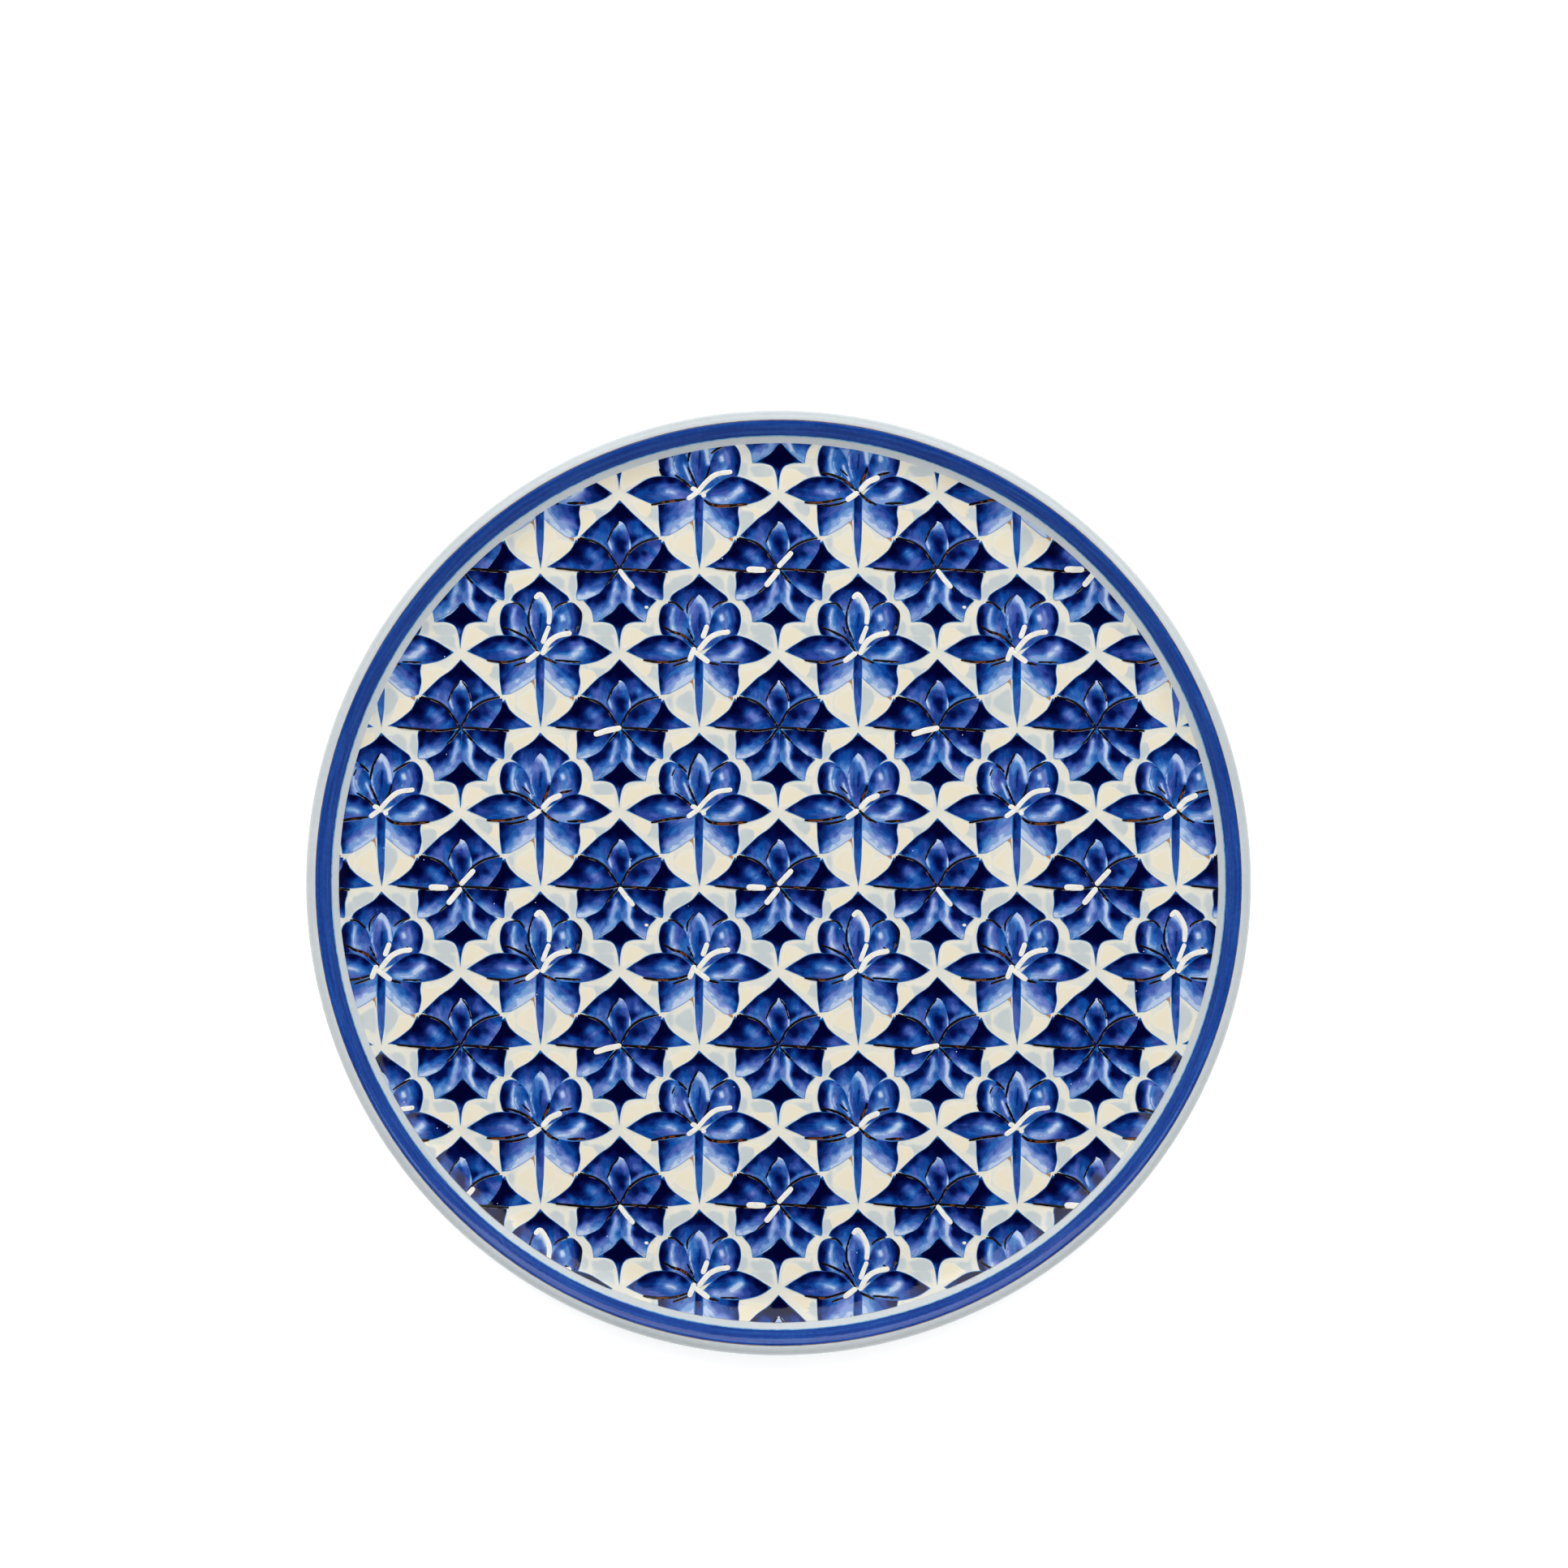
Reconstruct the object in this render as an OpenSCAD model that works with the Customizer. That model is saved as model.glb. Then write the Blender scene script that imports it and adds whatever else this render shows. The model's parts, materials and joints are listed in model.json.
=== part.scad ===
// Hand painted ceramic plate: a shallow coupe plate with a repeat of lotus and star
// flowers under a cobalt rim band. The centre of the foot's underside is the origin, +Z is up.
// The clay, each glaze coat and each colour of paint is a solid of its own, laid one on another.

/* [Plate] */
// Diameter over the rim
plate_d = 270; // [225:1:325]
// Radius of the curve that turns the floor up into the rim
curve_r = 16; // [12:0.1:30]
// Steepness of the rim beyond the curve, in degrees
rim_slope = 40; // [25:1:50]
// Length of the straight rim beyond the curve, up to the middle of its round lip
rim_run = 2.1; // [1:0.1:12]
// Thickness of the wall, glaze included
wall = 5.6; // [4:0.01:8]
// Thickness of one coat of glaze
glaze_t = 0.4; // [0.2:0.05:0.8]

/* [Foot ring] */
// Outer diameter of the foot ring where it meets the wall
foot_d = 164; // [100:1:200]
// Width of the foot ring where it meets the wall
foot_w = 6; // [4:0.5:12]
// Width of the bare edge that the plate stands on
foot_edge_w = 3.6; // [2:0.2:4]
// Height of the foot ring below the wall
foot_h = 6; // [5:0.1:10]

/* [Rim band] */
// Width of the white margin outside the cobalt band, seen from above
margin_w = 3.15; // [3:0.05:6]
// Width of the cobalt band, seen from above
band_w = 4.05; // [2:0.05:8]
// Width of the white gap between the band and the painted field
gap_w = 2.3; // [1:0.1:5]
// Width of the pale line of bleeding colour along the band's inner edge
bleed_line_w = 0.5; // [0.3:0.1:1]
// Width of the fine brown line along the band's outer edge
brown_line_w = 0.3; // [0.2:0.1:0.6]

/* [Pattern] */
// Distance from one flower to the next, across and down
pitch = 45.5; // [37.5:0.1:60]
// Place of the middle star row above the plate's centre
star_row_y = -1; // [-10:0.5:10]
// Thickness of the blue paint
paint_t = 0.25; // [0.15:0.05:0.4]
// Thickness of the raised cream enamel
cream_t = 0.5; // [0.3:0.05:0.8]
// Thickness of the brown lines laid over the blue
line_t = 0.15; // [0.1:0.05:0.3]
// Widest part of a brown line
line_w = 0.6; // [0.4:0.1:1]
// Thickness of the white strokes laid over the blue
stroke_t = 0.45; // [0.3:0.05:0.8]
// Width of a white stroke
stroke_w = 1.9; // [1.2:0.1:2.4]
// Bare gap between neighbouring colours
paint_gap = 0.16; // [0.1:0.02:0.3]

/* [Hidden] */
$fn = 96;

// The glazed floor's height, and the radii where each zone of the front ends.
floor_z = foot_h + wall;
plate_r = plate_d / 2;
lip_r = wall / 2;
band_out_r = plate_r - margin_w;
band_in_r = band_out_r - band_w;
field_r = band_in_r - gap_w;
foot_r = foot_d / 2;
foot_in_r = foot_r - foot_w;

// The rim is laid out inwards from the lip: its straight run, then the curve down to the floor.
rim_dir = [cos(rim_slope), sin(rim_slope)];
rim_up = [-rim_dir.y, rim_dir.x];
floor_r = plate_r - lip_r - rim_dir.x * rim_run - rim_dir.y * (curve_r + lip_r);
curve_c = [floor_r, floor_z + curve_r];
lip_c = curve_c + rim_dir * rim_run - rim_up * (curve_r + lip_r);
tall = lip_c.y + lip_r + 5;

// The motifs below are drawn in millimetres for this pitch and scaled to the real one.
drawn_pitch = 45.5;
motif_k = pitch / drawn_pitch;
lotus_rise = 21.7 * motif_k;
motif_reach = 24 * motif_k;
// Rows and columns either side of the middle, enough to pass the field's edge.
reach_n = ceil(field_r / pitch) + 1;

// Unit vector from a to b, and the one to its left.
function along(a, b) = (b - a) / norm(b - a);
function left_of(a, b) = [-along(a, b).y, along(a, b).x];
// Radius of the circle through a and b that bulges by s beyond their chord.
function bulge_r(a, b, s) = (pow(norm(b - a) / 2, 2) + s * s) / (2 * s);

// Circle through a and b that bulges by s to the left of the way from a to b.
module bulge(a, b, s) {
    translate((a + b) / 2 + left_of(a, b) * (s - bulge_r(a, b, s)))
        circle(r = bulge_r(a, b, s));
}

// Petal with sharp tips at a and b, bulging by s_left and s_right of its chord.
module petal(a, b, s_left, s_right, grow = 0) {
    tip = along(a, b) * grow;
    intersection() {
        bulge(a - tip, b + tip, s_left + grow);
        bulge(b + tip, a - tip, s_right + grow);
    }
}

// Brush line on the curve from a to b that bulges by s to the left, tapering to both ends.
module brush_line(a, b, s, w = line_w) {
    difference() {
        bulge(a, b, s + w / 2);
        bulge(a, b, s - w / 2);
    }
}

// Straight brush stroke with round ends.
module round_stroke(a, b, w = stroke_w) {
    run = b - a;
    translate(a)
        rotate(atan2(run.y, run.x))
            union() {
                translate([0, -w / 2])
                    square([norm(run), w]);
                circle(d = w);
                translate([norm(run), 0])
                    circle(d = w);
            }
}

module both_sides() {
    children();
    mirror([1, 0])
        children();
}

// ---- Section of the plate ----

// Everything below the front surface once that is moved k outwards, in the section's plane.
module below_front(k) {
    start = [floor_r, floor_z + k];
    turn = curve_c - rim_up * (curve_r - k);
    far = turn + rim_dir * plate_r;
    past = 1.2;
    difference() {
        polygon([[0, -plate_r], [far.x, -plate_r], far, turn, start, [0, start.y]]);
        // The slice of the curve's circle between the floor and the rim, cut past its edge.
        intersection() {
            translate(curve_c)
                circle(r = curve_r - k);
            polygon([curve_c, curve_c + (start - curve_c) * past, curve_c + (turn - curve_c) * past]);
        }
    }
}

// The wall's section with its round lip, shrunk all over by k.
module wall_section(k) {
    back = [lip_c - rim_up * plate_r, lip_c + rim_up * plate_r];
    intersection() {
        difference() {
            below_front(-k);
            below_front(k - wall);
        }
        polygon([[0, -plate_r], back[0], back[1], [0, plate_r]]);
    }
    intersection() {
        translate(lip_c)
            circle(r = lip_r - k);
        polygon([back[0], back[0] + rim_dir * wall, back[1] + rim_dir * wall, back[1]]);
    }
}

// A coat of glaze around the clay. The front and back coats meet along the lip's middle.
module glaze_section() {
    difference() {
        wall_section(0);
        wall_section(glaze_t);
    }
}

// Ring-shaped zone of the section between two radii.
module zone(r_in, r_out) {
    translate([r_in, 0])
        square([r_out - r_in, tall]);
}

// Layer of paint on the front between two radii, from lift to lift + t above the glaze.
// It follows the floor, the curve, the rim and the lip.
module front_layer(lift, t, r_in, r_out) {
    rotate_extrude()
        difference() {
            intersection() {
                difference() {
                    wall_section(-lift - t);
                    wall_section(-lift);
                }
                zone(r_in, r_out);
            }
            below_front(-wall / 2);
        }
}

module clay_body() {
    color("peru")
        rotate_extrude()
            wall_section(glaze_t);
}

module foot_ring() {
    slant = (foot_w - foot_edge_w) / 2;
    top = floor_z - wall + glaze_t;
    color("burlywood")
        rotate_extrude()
            polygon([
                [foot_in_r, top],
                [foot_in_r + slant, 0],
                [foot_r - slant, 0],
                [foot_r, top]
            ]);
}

module front_glaze() {
    color("lightgray")
        rotate_extrude()
            difference() {
                glaze_section();
                below_front(-wall / 2);
            }
}

module back_glaze() {
    color("gainsboro")
        rotate_extrude()
            intersection() {
                glaze_section();
                below_front(-wall / 2);
                zone(foot_r + paint_gap, plate_r + wall);
            }
}

module foot_well_glaze() {
    color("gainsboro")
        translate([0, 0, floor_z - wall])
            cylinder(r = foot_in_r - paint_gap, h = glaze_t);
}

// ---- Rim band ----

module rim_band() {
    color("midnightblue")
        front_layer(0, paint_t, band_in_r, band_out_r);
}

module band_bleed_line() {
    color("deepskyblue")
        front_layer(0, paint_t / 2, band_in_r - bleed_line_w, band_in_r);
}

module band_brown_line() {
    color("saddlebrown")
        front_layer(0, paint_t / 2, band_out_r, band_out_r + brown_line_w);
}

// ---- Lotus: points from the knot where its petals meet ----

module lotus_side(grow = 0) {
    petal([2.2, -0.5], [20.8, 0.3], 5.2, 3.1, grow);
}

module lotus_centre(grow = 0) {
    petal([0, 1.2], [0, 16.6], 3.2, 3.2, grow);
}

module lotus_crown(grow = 0) {
    petal([0.9, 1.6], [8.2, 14.2], 2.6, 5.4, grow);
}

module lotus_cap_shape() {
    difference() {
        polygon([[0, 22.4], [-8.4, 15], [-3.4, 9], [3.4, 9], [8.4, 15]]);
        both_sides()
            lotus_crown(paint_gap);
        lotus_centre(paint_gap);
    }
}

module lotus_crown_shape() {
    both_sides()
        difference() {
            lotus_crown();
            lotus_centre(paint_gap);
            lotus_side(paint_gap);
        }
}

module lotus_skirt_shape() {
    both_sides()
        difference() {
            polygon([[1.4, -1], [12, -1], [11.6, -9], [10.6, -12.3], [8.4, -12.2], [1.4, -7.6]]);
            lotus_side(paint_gap);
        }
}

module lotus_stem_shape() {
    polygon([[-1.2, -1.6], [1.2, -1.6], [0.9, -15], [0, -21], [-0.9, -15]]);
}

// ---- Star: points from the knot where its petals meet ----

module star_centre(grow = 0) {
    petal([0, 2.6], [0, 13.4], 2.9, 2.9, grow);
}

module star_upper(grow = 0) {
    petal([0.9, 0.5], [12.6, 8], 3, 2.4, grow);
}

module star_hood_shape() {
    difference() {
        polygon([[0, 19.5], [-11, 9], [-1, 1.4], [1, 1.4], [11, 9]]);
        both_sides()
            star_upper(paint_gap);
        star_centre(paint_gap);
    }
}

module star_wing_shape() {
    both_sides()
        difference() {
            polygon([[3.2, 0], [20, 0.2], [16.3, 3.2], [13.9, 5.6], [13.3, 8.6], [11, 7.6]]);
            star_upper(paint_gap);
        }
}

// Disc whose edge parts the lower petal from the bottom one.
module star_lower_disc(grow = 0) {
    bulge([12.3, -9.2], [0.9, -0.6], 2.3 + grow);
}

module star_lower_shape() {
    both_sides()
        intersection() {
            star_lower_disc();
            translate([0.9, -9.2])
                square([11.4, 8.6]);
        }
}

module star_bottom_shape() {
    both_sides()
        difference() {
            polygon([
                [0.2, -1.4], [4, -4], [11.6, -9.6],
                [8.3, -11.6], [7.2, -14.4], [3.2, -12.2], [0.2, -8.4]
            ]);
            star_lower_disc(paint_gap);
        }
}

module star_diamond_shape() {
    polygon([
        [0, -9], [-3.1, -12.5], [-6.9, -14.9], [-3.4, -15.7], [-0.9, -17.4],
        [0, -22.6], [0.9, -17.4], [3.4, -15.7], [6.9, -14.9], [3.1, -12.5]
    ]);
}

// ---- Cream panels around a lotus ----

module cream_shape() {
    both_sides() {
        // Shoulder, from the star above down to the side petal's tip.
        polygon([[21.7, 1.2], [21.5, 7.3], [16, 8.4], [12.4, 13.2], [11.9, 6.1], [15.5, 4.8]]);
        // Brow, over the cap.
        polygon([[0.6, 23], [3.9, 19.6], [8.8, 15.6], [10.6, 16.2], [10.4, 21.4]]);
        // Flank, beside the skirt.
        polygon([[21.9, -0.8], [14, -3.6], [12.4, -4.4], [12, -11], [17.3, -6.8]]);
        // Kite, under the skirt.
        polygon([[1.4, -8.2], [8.6, -12.9], [8.3, -16], [1.1, -19.8]]);
    }
}

// ---- White strokes: a lotus or star has one of two sets, by its column ----

module lotus_strokes(odd) {
    if (odd) {
        round_stroke([0.6, 0.4], [7.6, 5]);
        round_stroke([-1, -1], [-4, -3.2]);
    } else {
        round_stroke([-2.6, -1.6], [8.4, 5.4]);
        translate([2.4, -2.6])
            circle(d = stroke_w);
    }
}

module star_strokes(odd) {
    if (odd)
        round_stroke([-1.4, -0.9], [-6, -2.2]);
    else {
        round_stroke([-9.2, -0.4], [-4.6, -0.4]);
        round_stroke([-0.8, -1.2], [-3, -4.6]);
    }
}

// ---- Brown lines ----

module lotus_line_shape() {
    both_sides() {
        brush_line([20.8, 0.3], [2.2, -0.5], 3.1);
        brush_line([8.2, 14.2], [2.8, 12.2], 0.9);
    }
    brush_line([0, 1.2], [0, 16.6], 3.2);
}

module star_line_shape() {
    both_sides() {
        brush_line([0.9, 0.5], [12.6, 8], 3);
        brush_line([12.3, -9.2], [0.9, -0.6], 2.3);
        polygon([[1.6, -0.2], [7, line_w / 2 - 0.2], [13.4, -0.2], [7, -line_w / 2 - 0.2]]);
    }
    brush_line([0, 2.6], [0, 13.4], 2.9);
}

// ---- The repeat ----

// Draws its children at every knot whose motif reaches into the field.
// The child sees $odd, which is true in every second column.
module repeat(shift) {
    for (column = [-reach_n : reach_n], row = [-reach_n : reach_n]) {
        $odd = column % 2 != 0;
        knot = shift + [column, row] * pitch;
        if (norm(knot) < field_r + motif_reach - pitch * 0.2)
            translate(knot)
                scale(motif_k)
                    children();
    }
}

module at_lotuses() {
    repeat([pitch / 2, star_row_y + lotus_rise])
        children();
}

module at_stars() {
    repeat([0, star_row_y])
        children();
}

// Paints the flat shapes of its children on the field, from lift to lift + t above the glaze.
module paint(lift, t) {
    intersection() {
        front_layer(lift, t, 0, field_r);
        translate([0, 0, floor_z - 1])
            linear_extrude(tall)
                children();
    }
}

module lotus_caps() {
    color("navy")
        paint(0, paint_t)
            at_lotuses()
                lotus_cap_shape();
}

module lotus_crown_petals() {
    color("royalblue")
        paint(0, paint_t)
            at_lotuses()
                lotus_crown_shape();
}

module lotus_centre_petals() {
    color("cornflowerblue")
        paint(0, paint_t)
            at_lotuses()
                lotus_centre();
}

module lotus_side_petals() {
    color("mediumblue")
        paint(0, paint_t)
            at_lotuses()
                both_sides()
                    lotus_side();
}

module lotus_skirts() {
    color("steelblue")
        paint(0, paint_t)
            at_lotuses()
                lotus_skirt_shape();
}

module lotus_stems() {
    color("darkblue")
        paint(0, paint_t)
            at_lotuses()
                lotus_stem_shape();
}

module star_hoods() {
    color("navy")
        paint(0, paint_t)
            at_stars()
                star_hood_shape();
}

module star_centre_petals() {
    color("cornflowerblue")
        paint(0, paint_t)
            at_stars()
                star_centre();
}

module star_upper_petals() {
    color("royalblue")
        paint(0, paint_t)
            at_stars()
                both_sides()
                    star_upper();
}

module star_wings() {
    color("darkblue")
        paint(0, paint_t)
            at_stars()
                star_wing_shape();
}

module star_lower_petals() {
    color("mediumblue")
        paint(0, paint_t)
            at_stars()
                star_lower_shape();
}

module star_bottom_petals() {
    color("cornflowerblue")
        paint(0, paint_t)
            at_stars()
                star_bottom_shape();
}

module star_diamonds() {
    color("midnightblue")
        paint(0, paint_t)
            at_stars()
                star_diamond_shape();
}

module cream_panels() {
    color("wheat")
        paint(0, cream_t)
            at_lotuses()
                cream_shape();
}

module white_strokes() {
    color("ivory")
        paint(paint_t, stroke_t) {
            at_lotuses()
                lotus_strokes($odd);
            at_stars()
                star_strokes($odd);
        }
}

module brown_lines() {
    color("saddlebrown")
        paint(paint_t, line_t)
            difference() {
                union() {
                    at_lotuses()
                        lotus_line_shape();
                    at_stars()
                        star_line_shape();
                }
                at_lotuses()
                    lotus_strokes($odd);
                at_stars()
                    star_strokes($odd);
            }
}

clay_body();
foot_ring();
front_glaze();
back_glaze();
foot_well_glaze();
rim_band();
band_bleed_line();
band_brown_line();
lotus_caps();
lotus_crown_petals();
lotus_centre_petals();
lotus_side_petals();
lotus_skirts();
lotus_stems();
star_hoods();
star_centre_petals();
star_upper_petals();
star_wings();
star_lower_petals();
star_bottom_petals();
star_diamonds();
cream_panels();
white_strokes();
brown_lines();
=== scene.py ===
"""Hand painted ceramic plate: lathed clay and glaze, and a painting built of small raised enamel shapes.

Sizes are in millimetres until a mesh is written, and then in metres. The painting's shapes are drawn from
the knot where a flower's petals meet, x to the right and y up, and are laid on the floor and the curve.
"""

import json
import math

import bpy
import numpy as np
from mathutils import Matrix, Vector
from mathutils.geometry import delaunay_2d_cdt

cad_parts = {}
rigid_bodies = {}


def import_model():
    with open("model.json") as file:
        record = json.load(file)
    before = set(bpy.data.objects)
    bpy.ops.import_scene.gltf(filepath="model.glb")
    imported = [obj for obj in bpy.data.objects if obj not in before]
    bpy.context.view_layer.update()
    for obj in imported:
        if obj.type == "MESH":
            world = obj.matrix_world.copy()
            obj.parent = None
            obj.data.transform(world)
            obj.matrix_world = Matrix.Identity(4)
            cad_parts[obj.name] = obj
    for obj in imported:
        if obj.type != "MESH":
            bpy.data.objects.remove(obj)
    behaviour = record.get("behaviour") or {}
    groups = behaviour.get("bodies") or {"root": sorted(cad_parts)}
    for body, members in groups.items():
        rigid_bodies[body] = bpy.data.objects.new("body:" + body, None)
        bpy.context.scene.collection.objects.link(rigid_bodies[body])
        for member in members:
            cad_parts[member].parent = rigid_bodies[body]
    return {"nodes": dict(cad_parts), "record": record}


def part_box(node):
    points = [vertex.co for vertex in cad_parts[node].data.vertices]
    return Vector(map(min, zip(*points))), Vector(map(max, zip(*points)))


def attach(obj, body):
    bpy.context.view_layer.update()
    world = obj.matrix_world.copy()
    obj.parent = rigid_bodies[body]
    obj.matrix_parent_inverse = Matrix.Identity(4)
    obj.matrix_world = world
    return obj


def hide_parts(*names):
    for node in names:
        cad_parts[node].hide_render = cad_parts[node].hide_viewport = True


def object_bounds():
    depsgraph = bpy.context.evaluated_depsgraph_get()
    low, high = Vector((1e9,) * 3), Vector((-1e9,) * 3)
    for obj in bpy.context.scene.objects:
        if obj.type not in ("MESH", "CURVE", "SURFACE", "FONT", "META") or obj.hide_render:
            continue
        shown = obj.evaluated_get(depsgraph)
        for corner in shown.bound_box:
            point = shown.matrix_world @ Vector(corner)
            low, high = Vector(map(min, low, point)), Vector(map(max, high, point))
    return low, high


for leftover in list(bpy.data.objects):
    bpy.data.objects.remove(leftover)

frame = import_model()
cad_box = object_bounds()

MM = 0.001

# ---- The plate's sizes, from the frame and the design ----

PLATE_R = cad_box[1].x / MM
FOOT_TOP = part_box("back_glaze")[0].z / MM
WALL = 5.6
FLOOR_Z = FOOT_TOP + WALL
CURVE_R = 16.0
RIM_SLOPE = math.radians(40)
RIM_RUN = 2.1
LIP_R = WALL / 2
FLOOR_R = PLATE_R - LIP_R - math.cos(RIM_SLOPE) * RIM_RUN - math.sin(RIM_SLOPE) * (CURVE_R + LIP_R)
TURN_R = FLOOR_R + CURVE_R * math.sin(RIM_SLOPE)
GLAZE = 0.4
BAND_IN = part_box("band_bleed_line")[1].x / MM
GAP_W = 2.1
FIELD_R = BAND_IN - GAP_W
BAND_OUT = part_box("rim_band")[1].x / MM

PITCH = 45.5
STAR_ROW_Y = -1.0
LOTUS_RISE = 21.7
LOTUS_ROW_Y = STAR_ROW_Y + LOTUS_RISE
# How far a flower reaches from its knot.
MOTIF_REACH = 26

# The section's curve and lip are arcs about these two centres.
RIM_WAY = np.array([math.cos(RIM_SLOPE), math.sin(RIM_SLOPE)])
RIM_UP = np.array([-RIM_WAY[1], RIM_WAY[0]])
CURVE_C = np.array([FLOOR_R, FLOOR_Z + CURVE_R])
LIP_C = CURVE_C + RIM_WAY * RIM_RUN - RIM_UP * (CURVE_R + LIP_R)
LIP_START_R = (LIP_C + RIM_UP * LIP_R)[0]


def front_z(r):
    """Height of the glazed front at each radius, as far as the plate's edge."""
    r = np.asarray(r, float)
    on_curve = np.clip(r - FLOOR_R, 0, TURN_R - FLOOR_R)
    curve = FLOOR_Z + CURVE_R - np.sqrt(CURVE_R**2 - on_curve**2)
    slope = curve + np.clip(r - TURN_R, 0, None) * math.tan(RIM_SLOPE)
    lip = LIP_C[1] + np.sqrt(np.clip(LIP_R**2 - (r - LIP_C[0]) ** 2, 0, None))
    return np.where(r > LIP_START_R, lip, slope)


# ---- Materials ----


def linear(r, g, b):
    """A colour given as it looks on a screen, 0 to 255, as Blender's linear colour."""
    out = []
    for c in (r, g, b):
        c = c / 255
        out.append(c / 12.92 if c <= 0.04045 else ((c + 0.055) / 1.055) ** 2.4)
    return (*out, 1.0)


class Shader:
    """A material's node tree, with short calls for the nodes used here."""

    def __init__(self, name, roughness=0.1, specular=0.5):
        self.material = bpy.data.materials.new(name)
        self.material.use_nodes = True
        self.tree = self.material.node_tree
        self.surface = self.tree.nodes["Principled BSDF"]
        self.surface.inputs["Roughness"].default_value = roughness
        self.surface.inputs["Specular IOR Level"].default_value = specular

    def node(self, kind, **settings):
        made = self.tree.nodes.new(kind)
        for key, value in settings.items():
            setattr(made, key, value)
        return made

    def link(self, out, socket):
        if isinstance(out, (int, float, tuple)):
            socket.default_value = out
        else:
            self.tree.links.new(out, socket)

    def attribute(self, name, vector=False):
        made = self.node("ShaderNodeAttribute", attribute_name=name)
        return made.outputs["Vector" if vector else "Fac"]

    def position(self):
        return self.node("ShaderNodeTexCoord").outputs["Object"]

    def stretched(self, vector, scale):
        made = self.node("ShaderNodeMapping")
        self.link(vector, made.inputs["Vector"])
        made.inputs["Scale"].default_value = scale
        return made.outputs["Vector"]

    def noise(self, vector, scale, detail=4.0, roughness=0.55):
        made = self.node("ShaderNodeTexNoise")
        self.link(vector, made.inputs["Vector"])
        made.inputs["Scale"].default_value = scale
        made.inputs["Detail"].default_value = detail
        made.inputs["Roughness"].default_value = roughness
        return made.outputs["Fac"]

    def cells(self, vector, scale):
        made = self.node("ShaderNodeTexVoronoi", feature="F1")
        self.link(vector, made.inputs["Vector"])
        made.inputs["Scale"].default_value = scale
        return made.outputs["Distance"]

    def math(self, operation, a, b=0.0, clamp=False):
        made = self.node("ShaderNodeMath", operation=operation, use_clamp=clamp)
        self.link(a, made.inputs[0])
        self.link(b, made.inputs[1])
        return made.outputs[0]

    def span(self, value, low, high, to_low=0.0, to_high=1.0):
        made = self.node("ShaderNodeMapRange", interpolation_type="SMOOTHSTEP")
        self.link(value, made.inputs["Value"])
        made.inputs["From Min"].default_value = low
        made.inputs["From Max"].default_value = high
        made.inputs["To Min"].default_value = to_low
        made.inputs["To Max"].default_value = to_high
        return made.outputs["Result"]

    def ramp(self, value, stops):
        made = self.node("ShaderNodeValToRGB")
        self.link(value, made.inputs["Fac"])
        band = made.color_ramp
        while len(band.elements) < len(stops):
            band.elements.new(0.5)
        for element, (place, colour) in zip(band.elements, stops, strict=True):
            element.position = place
            element.color = linear(*colour)
        return made.outputs["Color"]

    def mix(self, factor, a, b):
        made = self.node("ShaderNodeMix", data_type="RGBA")
        self.link(factor, made.inputs["Factor"])
        self.link(a, made.inputs[6])
        self.link(b, made.inputs[7])
        return made.outputs[2]

    def bump(self, height, distance):
        made = self.node("ShaderNodeBump")
        self.link(height, made.inputs["Height"])
        made.inputs["Distance"].default_value = distance
        made.inputs["Strength"].default_value = 1.0
        return made.outputs["Normal"]

    def finish(self, colour, height=None, distance=0.0001, roughness=None):
        self.link(colour, self.surface.inputs["Base Color"])
        if height is not None:
            normal = self.bump(height, distance)
            self.link(normal, self.surface.inputs["Normal"])
        if roughness is not None:
            self.link(roughness, self.surface.inputs["Roughness"])
        return self.material


COBALT = (
    (0.00, (0, 1, 42)),
    (0.12, (0, 7, 62)),
    (0.25, (2, 24, 90)),
    (0.38, (8, 46, 121)),
    (0.50, (21, 68, 146)),
    (0.62, (42, 88, 165)),
    (0.72, (71, 112, 183)),
    (0.82, (108, 143, 200)),
    (0.91, (146, 172, 216)),
    (1.00, (190, 206, 230)),
)


VIOLET = ((0.0, (8, 4, 60)), (0.5, (58, 76, 166)), (0.85, (132, 146, 212)))
AZURE = ((0.0, (0, 10, 70)), (0.5, (0, 82, 174)), (0.85, (96, 160, 222)))

# How many washes there are from darkest to palest, and how much of the tone goes in their steps.
WASHES = 7.0
STEPPED = 0.65


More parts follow.
